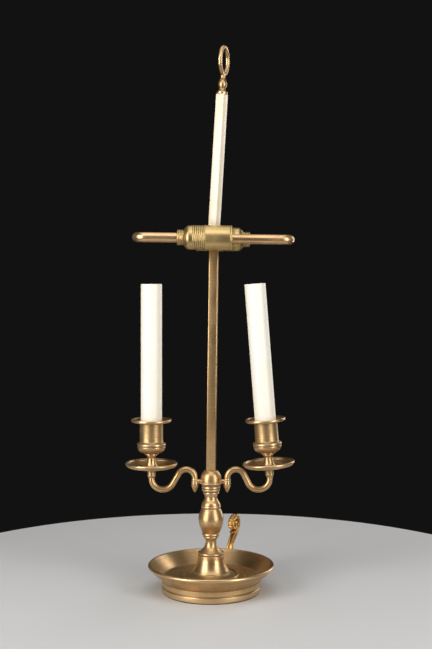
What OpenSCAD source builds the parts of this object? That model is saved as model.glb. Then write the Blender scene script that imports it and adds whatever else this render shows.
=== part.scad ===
// Two-light bouillotte table lamp: turned brass stem on a weighted dish, two swinging candle arms,
// a pair of horizontal lampholders on bent tube arms, and a leaning shade rod with a ring finial.
// Millimetres. Origin: middle of the base's underside. +Z is up and -Y is the lamp's front.

/* [Base dish] */
// Radius of the foot band
foot_r = 57.4; // [52:0.1:64]
// How far the dish's lip stands out past the foot band
lip_flare = 16; // [12:0.1:20]
// Height of the dish's floor above the table
floor_z = 17; // [15.5:0.1:22]
// Rise of the lip above the dish's floor
lip_rise = 15; // [11:0.1:20]
// Thickness of the dish's floor and walls
dish_wall = 2.6; // [2:0.1:3]
// Radius of the rolled lip's bead
lip_bead = 1.7; // [1.2:0.1:2]
// How far the flat floor stops inside the foot band
floor_inset = 3.8; // [2.5:0.1:6]
// Depth of the grooves in the foot band
foot_groove = 0.7; // [0.3:0.1:1]
// Thickness of the felt under the base
felt_t = 1; // [0.6:0.1:1.5]
// Thickness of the cast weight over its nut recess
weight_web = 3; // [2:0.1:4]
// Height of the cast weight's underside above the felt
weight_lift = 2; // [1:0.1:3]
// Radius of the bushed cable hole
cable_r = 2.8; // [2:0.1:3]

/* [Handle] */
// Half length of the scroll handle's oval
handle_a = 13; // [12:0.1:15]
// Half height of the scroll handle's oval
handle_b = 8.9; // [8.4:0.1:11]
// Thickness of the scroll handle
handle_t = 8; // [6.5:0.1:9.4]
// Width of the scroll's band where it leaves the dish
handle_band = 5; // [4:0.1:5.2]
// Turn of the handle from straight back, towards the right
handle_turn = 18; // [0:0.5:40]

/* [Stem] */
// Radius of the flange under the bell
flange_r = 32.6; // [29:0.1:38]
// Height of the bell, from the dish floor to the top of its neck
bell_h = 44.7; // [40:0.1:52]
// Radius of the bell above its flange
bell_r = 21; // [19:0.1:24]
// Radius of the bell's step ring
step_r = 15.2; // [13.5:0.1:17]
// Smallest radius of the neck over the bell
neck_r = 6.3; // [5.8:0.1:7.5]
// Height of the double collar under the vase
collar_h = 5.8; // [4.5:0.1:8]
// Radius of the double collar's wider ring
collar_r = 10.6; // [9.5:0.1:12]
// Height of the vase
vase_h = 28.5; // [24:0.1:36]
// Largest radius of the vase
vase_r = 14.6; // [13:0.1:17]
// Radius of the vase's shoulder
shoulder_r = 11.4; // [10.5:0.1:12.5]
// Height of the waist over the vase
waist_h = 17; // [14:0.1:22]
// Smallest radius of the waist
waist_r = 7.2; // [6.4:0.1:8.5]
// Height of the capital
capital_h = 27; // [25.5:0.1:32]
// Radius of the capital
capital_r = 12; // [11.4:0.1:13.5]
// Radius of the tie rod's thread
tie_r = 4; // [3.6:0.1:4.4]
// Radius of the wire bore through the tie rod
wire_bore_r = 2.4; // [2.1:0.1:2.7]

/* [Post] */
// Side of the square post and of the square shade rod
post_side = 10.6; // [9.8:0.1:12]
// Wall of the square post
post_wall = 1; // [0.8:0.1:1.3]
// Bevel on the post's edges
post_bevel = 0.8; // [0.4:0.1:1]
// Depth of the post's socket in the capital
socket_depth = 5; // [4:0.1:7]
// Lean of the post towards the right
post_lean = 0.75; // [0:0.05:2]
// Turn of the post about its own length
post_turn = -5; // [-10:0.5:10]
// Height of the lampholders' centre above the capital, along the post
hub_height = 270; // [240:0.5:300]

/* [Shade rod] */
// Length of the square shade rod
rod_len = 153.5; // [120:0.5:190]
// Lean of the shade rod from the post, towards the right
rod_lean = 2.65; // [0:0.05:4]
// Turn of the shade rod about its own length
rod_turn = -30; // [-45:0.5:45]
// Outer radius of the ring finial
ring_r = 17.7; // [15:0.1:24]
// Thickness of the ring finial, from its inside to its outside
ring_band = 3.9; // [3:0.1:5]
// Width of the ring finial along its axis
ring_w = 4.5; // [3.5:0.1:7]
// Turn of the ring finial's axis from the right towards the front
ring_turn = -16; // [-40:0.5:40]

/* [Swing arms] */
// Distance of each arm's pivot from the stem's axis
pivot_x = 18.8; // [17.5:0.1:21]
// Radius of the arms' round bar
arm_r = 3.5; // [3:0.1:4]
// Bend radius of the arms' upper arc
arc_up_r = 10.2; // [9:0.1:11]
// Slope of the arms' straight run, from level on its inner side of the bends
arm_slope = 29.87; // [27:0.01:33]
// Distance of the left candle from the stem's axis
arm_reach = 69.4; // [68:0.1:78]
// How much nearer the right candle stands, because its arm is bent
right_draw_in = 0.9; // [0:0.1:2.5]
// Lean of the right candle towards the stem
right_lean = 4.4; // [0:0.1:6]
// Radius of the pivot pins
pin_r = 2; // [1.6:0.1:2.4]
// Length of the pivot pins
pin_len = 8; // [6:0.1:9]

/* [Candle holders] */
// Radius of the drip pans
pan_r = 30.3; // [26:0.1:32]
// Rise of the drip pans' rims above their undersides
pan_h = 7.5; // [6.5:0.1:10]
// Wall of the drip pans
pan_wall = 2; // [1.5:0.1:2.5]
// Height of the spools between the pans and the bowls
spool_h = 14.5; // [12:0.1:18]
// Radius of the bowls
bowl_r = 16.9; // [15.5:0.1:19]
// Height of the bowls
bowl_h = 12.8; // [11:0.1:15]
// Height of the candle cups
cup_h = 28; // [25:0.1:32]
// Wall of the candle cups
cup_wall = 1; // [0.8:0.1:1.4]
// Radius of the flange on top of each cup
cup_flange_r = 23.5; // [20:0.1:26]
// Height of the cup's flange, from its underside at the cup to the top of its rim
cup_flange_t = 4; // [3:0.1:5]
// Height of the rim round the cup's flange
cup_rim_t = 3.2; // [2.4:0.1:3.8]
// Radius of the candle tubes
candle_r = 12.3; // [11.5:0.1:13]
// Wall of the candle tubes
candle_wall = 1.3; // [1:0.1:2]
// Length of the candle tubes
candle_len = 182.8; // [140:0.1:190]
// Radius of the threaded nipple that holds each candle holder together
nipple_r = 2.5; // [2:0.1:2.9]

/* [Lampholders] */
// Distance of each lampholder's axis in front of or behind the post
holder_y = 21; // [20.6:0.1:24]
// Radius of the smooth shell
shell_r = 14.4; // [13.6:0.1:14.6]
// Length of the smooth shell
shell_len = 30.9; // [26:0.1:36]
// Wall of the shell and cap
shell_wall = 1; // [0.8:0.1:1.3]
// Length of the ribbed ring
rib_len = 14.3; // [11:0.1:18]
// Number of ribs on the ribbed ring
rib_count = 6; // [4:1:8]
// Length of the domed cap
cap_len = 9.8; // [8:0.1:12]
// Radius of the nut between the cap and the tube arm
nut_r = 9.2; // [8:0.1:10]
// Length of the nut between the cap and the tube arm
nut_len = 8; // [6:0.1:10]
// Where the smooth shell's mouth stands, past the post's axis
mouth_x = 20.6; // [16:0.1:24]
// Radius of the lamp thread's sleeve, inside
thread_r = 7; // [6.6:0.1:7.4]
// Length of the lamp thread's sleeve
thread_len = 17; // [14:0.1:20]
// Radius of the tube arms
tube_r = 5.5; // [5:0.1:5.8]
// Wall of the tube arms
tube_wall = 1; // [0.8:0.1:1.3]
// How far each tube arm reaches out from the post's axis
tube_reach = 94.6; // [80:0.1:105]

/* [Fits] */
// Running clearance of pins in their bores, on the radius
run_gap = 0.05; // [0.02:0.01:0.1]
// Clearance between fixed pieces that slide together
fit_gap = 0.05; // [0.03:0.01:0.1]
// Clearance between flat faces that turn or lift apart
seat_gap = 0.1; // [0.05:0.01:0.2]
// Clearance of a candle tube in its cup, on the radius
candle_gap = 0.3; // [0.25:0.01:0.5]

/* [Hidden] */
$fn = 64;

BRASS = [0.64, 0.50, 0.30];
POLISHED = [0.71, 0.65, 0.42];
BRONZE = [0.70, 0.50, 0.32];
GILT = [0.86, 0.68, 0.36];
IVORY = [0.97, 0.92, 0.82];
WAX = [0.99, 0.97, 0.93];
IRON = [0.25, 0.25, 0.26];
FELT = [0.16, 0.28, 0.18];
CERAMIC = [0.90, 0.88, 0.82];
CABLE = [0.30, 0.22, 0.14];

// Base
lip_r = foot_r + lip_flare;
lip_z = floor_z + lip_rise;
floor_r = foot_r - floor_inset;
floor_under = floor_z - dish_wall;
foot_inner_r = foot_r - dish_wall;
band_split = (floor_under + felt_t) / 2;
weight_r = foot_inner_r - 4;
weight_z = felt_t + weight_lift;
recess_r = 10;
washer_t = 1;
washer_z = floor_under - weight_web - washer_t;
tie_nut_h = 3;
tie_nut_r = 7;
lead_r = 1.7;
tie_bottom = washer_z - tie_nut_h;
lead_bend_r = lead_r + 0.6;
lead_z = tie_bottom - lead_bend_r + 0.4;
channel_w = 2 * lead_r + 1.6;
terminal_y = 38;
terminal_size = [16, 12, 7.5];
bushing_r = cable_r + 0.8;
bushing_lip = 1.2;

// Stem
bell_z = floor_z;
collar_z = bell_z + bell_h;
vase_z = collar_z + collar_h;
waist_z = vase_z + vase_h;
capital_z = waist_z + waist_h;
post_z = capital_z + capital_h;
tie_hole_r = tie_r + fit_gap;
tie_top = post_z + 6;
plug_len = 12;

// Swing arms
joint_z = post_z - 13.1;
stub_z = joint_z - 1.3;
stub_r = 2.7;
stub_seat_x = capital_r - 1.2;
acorn_r = 4.3;
acorn_h = 13.9;
arm_collar_r = arm_r + 0.4;
arc_z = joint_z + 4.1;
braze = 0.1;
// Both bends together take up what the slope leaves of the way from the pivot to the candle
arc_down_r = (arm_reach - pivot_x) * cos(arm_slope) / (1 + cos(arm_slope)) - arc_up_r;

// Candle holders, measured up from the end of an arm
boss_h = 11;
pan_floor = boss_h + pan_wall + 0.5;
bowl_s = pan_floor + spool_h;
cup_s = bowl_s + bowl_h;
cup_floor_t = 2.2;
cup_bore_r = candle_r + candle_gap;
cup_r = cup_bore_r + cup_wall;
candle_s = cup_s + cup_floor_t + seat_gap;
nipple_bore_r = nipple_r + fit_gap;
nipple_foot = 3;
cup_nut_h = 3;
cup_nut_r = nipple_r + 2.2;

// Post, hub and shade rod
post_inner = post_side - 2 * post_wall;
hub_x = 8.5;
hub_y = 6.2;
hub_under = 12;
hub_over = 14.6;
spigot_len = 14;
stud_r = 2.5;
stud_reach = 9;
tang_r = 2;
tang_len = 6;
knop_h = 17;
knop_foot = 7;
knop_r = 5.1;
neck_h = 4.6;
neck_rod_r = 3.3;

// Lampholders, measured along the holder from the post's axis to its mouth
rib_x = mouth_x - shell_len;
cap_x = rib_x - rib_len;
nut_x = cap_x - cap_len;
tube_end_x = nut_x - nut_len;
tube_entry = nut_len - 1.5;
bend_r = holder_y / 2;
bend_x = tube_reach - bend_r - tube_r;
tube_bore_r = tube_r - tube_wall;
tail_lead_r = 1.5;
insulator_back = cap_x + 0.6;
thread_x = mouth_x - 3 - thread_len;
sleeve_wall = 0.5;

// How a profile's radius goes from its first value to its last as t runs from 0 to 1
function ease(shape, t) =
    shape == "swell" ? sin(90 * t) :
    shape == "shrink" ? 1 - cos(90 * t) :
    shape == "round" ? sqrt(1 - pow(1 - t, 2)) :
    shape == "ogee" ? (1 - cos(180 * t)) / 2 :
    shape == "flare" ? 1 - pow(1 - t, 2.2) :
    shape == "dome" ? pow(t, 3) : t;
// A run of profile points [radius, height] between two places
function run(r0, z0, r1, z1, shape = "line", n = 10) =
    [for (i = [0:n]) [r0 + (r1 - r0) * ease(shape, i / n), z0 + (z1 - z0) * i / n]];
// A half-round bead between two heights, standing out from radius r
function bead(r, z0, z1, out, n = 8) =
    [for (i = [0:n]) [r + out * sin(180 * i / n), z0 + (z1 - z0) * (1 - cos(180 * i / n)) / 2]];
// A closed turned profile: the outside points, closed along a bore of radius r
function bored(r, pts) = concat([[r, pts[0][1]]], pts, [[r, pts[len(pts) - 1][1]]]);

module turned(pts) {
    rotate_extrude() polygon(pts);
}
module square_bar(side, bevel, len) {
    h = side / 2;
    k = h - bevel;
    linear_extrude(height = len)
        polygon([[h, -k], [h, k], [k, h], [-k, h], [-h, k], [-h, -k], [-k, -h], [k, -h]]);
}
// A bar or bore bent round an arc in the X-Z plane, from angle a0 to angle a1
module bent_bar(bend, r, a0, a1) {
    rotate([90, 0, 0]) rotate([0, 0, a0])
        rotate_extrude(angle = a1 - a0) translate([bend, 0]) circle(r = r);
}
// The place of things that stand on the post, at a distance s above the capital
module on_post(s = 0) {
    translate([0, 0, post_z]) rotate([0, post_lean, 0]) translate([0, 0, s]) children();
}
// The place of the shade rod's lower end, along its own lean
module on_hub() {
    on_post(hub_height + hub_over) rotate([0, rod_lean, 0]) children();
}
// The place of a lampholder: +X runs along it towards its mouth
module on_holder(side) {
    on_post(hub_height) rotate([0, 0, side == "front" ? 0 : 180]) translate([0, -holder_y, 0]) children();
}
module along_x() {
    rotate([0, 90, 0]) children();
}
module mirrored(side) {
    mirror([side == "left" ? 1 : 0, 0, 0]) children();
}

// ---- Base ----
// The dish's outside, from its foot to its lip, with everything inside it
dish_outline = concat(
    [[0, felt_t], [foot_r - 0.5, felt_t], [foot_r, felt_t + 0.5]],
    [[foot_r, band_split - 1], [foot_r - foot_groove, band_split - 0.6],
     [foot_r - foot_groove, band_split], [foot_r - foot_groove / 2, band_split + 0.3],
     [foot_r - foot_groove, band_split + 0.6], [foot_r, band_split + 1.2]],
    [[foot_r, floor_under - 0.6]],
    run(foot_r, floor_under, lip_r - 1.2, lip_z - 2 * lip_bead + 0.3, "line", 1),
    [for (a = [-60:15:150]) [lip_r - lip_bead + lip_bead * cos(a), lip_z - lip_bead + lip_bead * sin(a)]]);
slope_top_r = lip_r - 1.8 * lip_bead;
slope_top_z = lip_z - 0.6;

module felt_pad() {
    color(FELT) cylinder(r = foot_r - 0.8, h = felt_t);
}
module base_dish() {
    color(BRASS) difference() {
        turned(concat(dish_outline, [[slope_top_r, slope_top_z], [floor_r, floor_z], [0, floor_z]]));
        translate([0, 0, felt_t - 1]) cylinder(r = foot_inner_r, h = floor_under - felt_t + 1);
        cylinder(r = tie_hole_r, h = lip_z);
        translate([0, foot_inner_r - 3, lead_z]) rotate([-90, 0, 0]) cylinder(r = bushing_r + fit_gap, h = 9);
        handle_screw_holes();
    }
}
module base_weight() {
    color(IRON) difference() {
        translate([0, 0, weight_z]) cylinder(r = weight_r, h = floor_under - weight_z);
        cylinder(r = tie_hole_r, h = lip_z);
        cylinder(r = recess_r, h = floor_under - weight_web);
        translate([-channel_w / 2, 0, 0]) cube([channel_w, foot_r, lead_z + channel_w / 2]);
        translate([-terminal_size[0] / 2 - 0.5, terminal_y - 0.5, 0])
            cube([terminal_size[0] + 1, foot_r, weight_z + terminal_size[2] + 0.4]);
    }
}
module tie_rod_washer() {
    color(IRON) translate([0, 0, washer_z]) difference() {
        cylinder(r = recess_r - 1, h = washer_t);
        translate([0, 0, -1]) cylinder(r = tie_hole_r, h = washer_t + 2);
    }
}
module tie_rod_nut() {
    color(IRON) translate([0, 0, washer_z - tie_nut_h]) difference() {
        cylinder(r = tie_nut_r, h = tie_nut_h, $fn = 6);
        translate([0, 0, -1]) cylinder(r = tie_hole_r, h = tie_nut_h + 2);
    }
}
module tie_rod() {
    color(IRON) translate([0, 0, tie_bottom]) difference() {
        cylinder(r = tie_r, h = tie_top - tie_bottom);
        translate([0, 0, -1]) cylinder(r = wire_bore_r, h = tie_top - tie_bottom + 2);
    }
}
module terminal_block() {
    wire_r = lead_r + 0.1;
    color(CERAMIC) difference() {
        translate([-terminal_size[0] / 2, terminal_y, weight_z + 0.2]) cube(terminal_size);
        for (x = [-4, 4]) {
            translate([x, terminal_y + 3, weight_z + 3]) cylinder(r = 1.8, h = terminal_size[2]);
            translate([x, terminal_y + 6, lead_z]) rotate([-90, 0, 0]) cylinder(r = 1.4, h = 10);
        }
        translate([0, terminal_y - 1, lead_z]) rotate([-90, 0, 0]) cylinder(r = wire_r, h = 3);
    }
}
module cable_bushing() {
    inner_flange_r = bushing_r + 0.8;
    wall_at_flange = sqrt(pow(foot_inner_r, 2) - pow(inner_flange_r, 2));
    color(CABLE) translate([0, foot_inner_r - bushing_lip, lead_z]) rotate([-90, 0, 0]) difference() {
        union() {
            cylinder(r = bushing_r, h = dish_wall + 2 * bushing_lip);
            translate([0, 0, dish_wall + bushing_lip + fit_gap])
                cylinder(r = bushing_r + 1, h = bushing_lip - fit_gap);
            cylinder(r = inner_flange_r, h = wall_at_flange - foot_inner_r + bushing_lip - fit_gap);
        }
        translate([0, 0, -1]) cylinder(r = cable_r, h = dish_wall + 6);
    }
}

// ---- Handle ----
screw_at = [-4.6, -8.8];
handle_screw_r = 1.2;
screw_head_r = 1.9;
screw_bite = 2.9;
tongue_z = -14;
oval_x = handle_a + 5;
oval_z = handle_b + 17.1;
scroll_start = -90;
curl_start = 150;
scroll_end = 330;
scroll_rise = 5;
eye_r = 3;
eye_len = 8;
// The scroll's middle line: an oval that curls in to a long eye, and whose middle rises as it curls
function scroll_k(a) = a < curl_start ? 1 : 1 - 0.6 * pow((a - curl_start) / (scroll_end - curl_start), 0.8);
function scroll_at(a, out) =
    [oval_x + cos(a) * (handle_a * scroll_k(a) + out),
     oval_z + scroll_rise * (1 - scroll_k(a)) + sin(a) * (handle_b * scroll_k(a) + out)];
function scroll_half(a) = handle_band / 2 * (1 - 0.25 * (a - scroll_start) / (scroll_end - scroll_start));
// Height of the dish's outside wall, from the lip, at a distance x from the lip
function wall_under(x) =
    -lip_rise - dish_wall + (x + lip_flare) * (lip_rise + dish_wall - 2 * lip_bead + 0.3) / (lip_flare - 1.2);

// The handle's plane: +X outwards from the lip, +Z up from the lip
module on_handle() {
    rotate([0, 0, 90 - handle_turn]) translate([lip_r, 0, lip_z]) children();
}
module handle_screw_holes() {
    on_handle() for (x = screw_at) translate([x, 0, tongue_z - 1])
        cylinder(r = handle_screw_r + seat_gap, h = wall_under(x) + screw_bite + 2 * seat_gap - tongue_z + 1);
}
module scroll_handle() {
    band = concat([for (a = [scroll_start:10:scroll_end]) scroll_at(a, scroll_half(a))],
                  [for (a = [scroll_end:-10:scroll_start]) scroll_at(a, -scroll_half(a))]);
    eye = scroll_at(scroll_end, 0);
    foot = scroll_at(scroll_start, 0);
    half = scroll_half(scroll_start);
    color(GILT) difference() {
        on_handle() rotate([90, 0, 0]) linear_extrude(height = handle_t, center = true) {
            polygon(band);
            hull() for (x = [0, -eye_len]) translate(eye + [x, 0.3]) circle(r = eye_r);
            for (a = [40:18:220]) translate(scroll_at(a, scroll_half(a) - 1.2)) circle(r = 2.2);
            polygon([[-14, tongue_z], [-3, tongue_z], [3.2, -8], [3.4, 1], [9.6, 3.6], [16.4, 6.9], [22.6, 10.4],
                     [27.2, 15.2], [29.4, 19.6], foot + [6, half], foot + [0.2, half],
                     foot + [-1, half], foot + [-10, half - 0.6], foot + [-10.6, half - 2.1], foot + [-6, half - 4.3],
                     foot + [-8.5, half - 7.1], [3, 9], [-2.5, 5], [-3.2, -1.2], [-14, -1.2]]);
        }
        turned(concat([[0, 0]], [for (p = dish_outline) [p[0] + fit_gap, p[1]]], [[0, lip_z + 0.05]]));
        handle_screw_holes();
    }
}
module handle_screws() {
    color(BRASS) on_handle() for (x = screw_at) translate([x, 0, tongue_z]) {
        cylinder(r = handle_screw_r, h = wall_under(x) + screw_bite - tongue_z);
        translate([0, 0, -1.3]) cylinder(r = screw_head_r, h = 1.3);
    }
}

// ---- Stem ----
module bell_foot() {
    step_z = 0.60 * bell_h;
    color(BRASS) translate([0, 0, bell_z]) turned(bored(tie_hole_r, concat(
        [[flange_r - 0.6, 0], [flange_r, 0.6], [flange_r, 2.2], [flange_r - 0.7, 3.2],
         [flange_r - 2, 3.6], [flange_r - 3, 3.1], [flange_r - 3.8, 2.6]],
        run(flange_r - 4.2, 2.5, bell_r, 6.8, "flare", 6),
        run(bell_r, 6.9, step_r + 0.2, step_z - 2, "flare", 14),
        [[step_r - 0.7, step_z - 1.4], [step_r - 0.7, step_z - 0.9]],
        bead(step_r - 0.5, step_z - 0.8, step_z + 1.4, 0.5),
        run(step_r - 1.6, step_z + 1.8, neck_r, bell_h - 4.5, "flare", 12),
        run(neck_r, bell_h - 4.2, neck_r + 0.9, bell_h, "shrink", 5))));
}
module double_collar() {
    split = collar_h / 2;
    color(BRASS) translate([0, 0, collar_z]) turned(bored(tie_hole_r, concat(
        bead(collar_r - 2.6, 0, split - 0.2, 0.9),
        bead(collar_r - 0.9, split, collar_h, 0.9))));
}
module vase_body() {
    belly = 0.58 * vase_h;
    color(BRASS) translate([0, 0, vase_z]) turned(bored(tie_hole_r, concat(
        run(collar_r - 0.5, 0, vase_r, belly, "swell", 12),
        run(vase_r, belly + 0.1, shoulder_r - 0.3, vase_h, "shrink", 12))));
}
module waist() {
    color(BRASS) translate([0, 0, waist_z]) turned(bored(tie_hole_r, concat(
        [[shoulder_r - 1, 0], [shoulder_r - 1, 1]],
        bead(shoulder_r - 0.4, 1.1, 3.5, 0.5),
        run(shoulder_r - 0.4, 3.7, waist_r, 13, "ogee", 12),
        run(waist_r, 13.2, waist_r + 0.8, waist_h, "shrink", 4))));
}
module capital() {
    color(BRASS) difference() {
        translate([0, 0, capital_z]) turned(bored(tie_hole_r, concat(
            bead(waist_r + 1.3, 0, 2.4, 0.8, 6),
            run(waist_r + 1.6, 2.6, capital_r - 1.4, 4.2, "swell", 4),
            [[capital_r - 0.9, 11], [capital_r - 0.4, 11.4]],
            bead(capital_r + 0.3, 11.8, 13.8, 0.8, 6),
            run(capital_r + 0.2, 14.2, 7.6, capital_h, "dome", 14))));
        on_post(-socket_depth) rotate([0, 0, post_turn])
            square_bar(post_side + 2 * fit_gap, post_bevel, socket_depth + 4);
        for (side = ["left", "right"]) mirrored(side) translate([0, 0, stub_z]) {
            translate([stub_seat_x, 0, 0]) along_x() cylinder(r = stub_r + fit_gap, h = 6);
            translate([tie_hole_r + 1.5, 0, 0]) along_x() cylinder(r = spigot_r + fit_gap, h = capital_r);
        }
    }
}

// ---- Swing arms ----
spigot_r = 1.9;
// A bracket: a stub out of the capital, carrying an acorn drop that holds the arm's pin
module bracket(side) {
    color(BRASS) mirrored(side) difference() {
        union() {
            translate([stub_seat_x + fit_gap, 0, stub_z]) along_x()
                cylinder(r = stub_r, h = pivot_x - stub_seat_x - 1);
            translate([tie_hole_r + 1.8, 0, stub_z]) along_x()
                cylinder(r = spigot_r, h = stub_seat_x - tie_hole_r);
            translate([pivot_x, 0, joint_z - acorn_h]) turned(concat(
                [[0, 0], [0.9, 0.5], [1.3, 1.6], [1.9, 2.2]],
                run(1.9, 2.3, acorn_r, acorn_h - 3.6, "swell", 10),
                [[acorn_r, acorn_h - 2.2], [acorn_r - 0.5, acorn_h - 1.4], [acorn_r - 0.2, acorn_h - 0.8],
                 [acorn_r - 0.4, acorn_h], [0, acorn_h]]));
        }
        translate([pivot_x, 0, joint_z - pin_len - 0.5]) cylinder(r = pin_r + run_gap, h = pin_len + 4);
        translate([pivot_x, 0, joint_z]) cylinder(r = arm_collar_r + 0.3, h = 6);
    }
}

function reach(side) = side == "left" ? arm_reach : arm_reach - right_draw_in;
function lean(side) = side == "left" ? 0 : right_lean;
function down_x(side) = reach(side) - arc_down_r;

// The place of a candle holder: the origin at the end of its arm, and +Z along its candle
module on_arm(side) {
    mirrored(side) translate([down_x(side), 0, arc_z]) rotate([0, -lean(side), 0])
        translate([arc_down_r, 0, 0]) children();
}
// The arm is an S of round bar: up from its pin and over, down along the common tangent, and round
module arm(side) {
    up_x = pivot_x + arc_up_r;
    span = down_x(side) - up_x;
    tangent = acos((arc_up_r + arc_down_r) / span);
    run_len = sqrt(pow(span, 2) - pow(arc_up_r + arc_down_r, 2));
    foot_h = arc_z - joint_z - 1.5 - braze;
    color(BRASS) mirrored(side) {
        translate([pivot_x, 0, joint_z - pin_len]) cylinder(r = pin_r, h = pin_len + 2);
        translate([pivot_x, 0, joint_z + seat_gap]) turned(concat([[0, 0]],
            bead(arm_r - 0.1, 0, 1.9, arm_collar_r - arm_r + 0.1), [[0, 1.9]]));
        translate([pivot_x, 0, joint_z + 1.5]) cylinder(r = arm_r, h = foot_h);
        translate([up_x, 0, arc_z]) {
            brazed_at(arc_up_r, 180);
            bent_bar(arc_up_r, arm_r, tangent, 180);
            brazed_at(arc_up_r, tangent);
        }
        translate([up_x + arc_up_r * cos(tangent), 0, arc_z + arc_up_r * sin(tangent)])
            rotate([0, 180 - tangent, 0]) translate([0, 0, braze]) cylinder(r = arm_r, h = run_len - 2 * braze);
        translate([down_x(side), 0, arc_z]) {
            brazed_at(arc_down_r, 180 + tangent);
            bent_bar(arc_down_r, arm_r, 180 + tangent, 360 + lean(side));
        }
    }
}
// The ball of braze where two lengths of the arm's bar meet, a hair larger than the bar
module brazed_at(bend, a) {
    translate([bend * cos(a), 0, bend * sin(a)]) sphere(r = arm_r + braze / 2);
}

// ---- Candle holders ----
module boss(side) {
    color(BRASS) on_arm(side) difference() {
        turned(concat([[0, 0]], run(arm_r + 0.1, 0, 4.9, 3.4, "ogee", 6),
            [[4.9, boss_h - 1.6], [5.8, boss_h - 1.2], [5.8, boss_h], [0, boss_h]]));
        translate([0, 0, nipple_foot - 0.2]) cylinder(r = nipple_bore_r, h = boss_h);
    }
}
module drip_pan(side) {
    w = pan_wall;
    color(BRASS) on_arm(side) translate([0, 0, boss_h]) turned(bored(nipple_bore_r, concat(
        [[0.45 * pan_r, 0]],
        run(0.6 * pan_r, 0.2, pan_r - 1.2, pan_h - 3.4, "flare", 8),
        [[pan_r - 0.4, pan_h - 2.8], [pan_r, pan_h - 1.9], [pan_r - 0.1, pan_h - 0.9], [pan_r - 0.8, pan_h - 0.1],
         [pan_r - 1.7, pan_h - 0.2], [pan_r - 2.3, pan_h - 1]],
        run(pan_r - 3, pan_h - 1.8, 0.6 * pan_r, w + 0.7, "dome", 8),
        [[0.45 * pan_r, w + 0.5]])));
}
module spool(side) {
    color(BRASS) on_arm(side) translate([0, 0, pan_floor]) turned(bored(nipple_bore_r, concat(
        [[7.6, 0], [7.8, 0.5], [7.3, 1.1]],
        run(6.9, 1.4, 4.7, spool_h - 5, "flare", 8),
        run(4.7, spool_h - 4.6, 5.3, spool_h - 2.4, "shrink", 4),
        bead(5.8, spool_h - 2.2, spool_h - 0.4, 0.6), [[5.8, spool_h]])));
}
module bowl(side) {
    color(BRASS) on_arm(side) translate([0, 0, bowl_s]) turned(bored(nipple_bore_r, concat(
        bead(8.2, 0, 1.3, 0.6),
        run(8.6, 1.4, bowl_r - 0.4, bowl_h - 3.6, "round", 12),
        [[bowl_r - 1, bowl_h - 3.3], [bowl_r - 1, bowl_h - 2.9]],
        bead(bowl_r - 0.6, bowl_h - 2.7, bowl_h, 0.6))));
}
module candle_cup(side) {
    foot_flare = cup_r + 2.2;
    rim_z = cup_h - cup_rim_t;
    color(BRASS) on_arm(side) translate([0, 0, cup_s]) difference() {
        turned(concat([[0, 0]], run(foot_flare, 0, cup_r, 3.2, "flare", 6),
            run(cup_r, 3.4, cup_r, cup_h - cup_flange_t - 1, "line", 1),
            run(cup_r + 0.2, cup_h - cup_flange_t - 0.8, cup_r + 1.4, cup_h - cup_flange_t, "shrink", 4),
            run(cup_r + 2, cup_h - cup_flange_t, cup_flange_r - 1.2, rim_z, "line", 1),
            bead(cup_flange_r - 0.9, rim_z, cup_h, 0.9),
            [[cup_flange_r - 1.6, cup_h - 0.1], [cup_flange_r - 2.6, rim_z + 1.9], [0, rim_z + 1.5]]));
        translate([0, 0, cup_floor_t]) cylinder(r = cup_bore_r, h = cup_h);
        translate([0, 0, -1]) cylinder(r = nipple_bore_r, h = cup_floor_t + 2);
    }
}
module nipple(side) {
    top = cup_s + cup_floor_t + cup_nut_h + 0.6;
    color(IRON) on_arm(side) translate([0, 0, nipple_foot]) cylinder(r = nipple_r, h = top - nipple_foot);
}
module cup_nut(side) {
    color(IRON) on_arm(side) translate([0, 0, cup_s + cup_floor_t]) difference() {
        cylinder(r = cup_nut_r, h = cup_nut_h, $fn = 6);
        translate([0, 0, -1]) cylinder(r = nipple_bore_r, h = cup_nut_h + 2);
    }
}
module candle(side) {
    color(WAX) on_arm(side) translate([0, 0, candle_s]) difference() {
        cylinder(r = candle_r, h = candle_len);
        translate([0, 0, -1]) cylinder(r = candle_r - candle_wall, h = candle_len + 2);
    }
}

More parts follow.
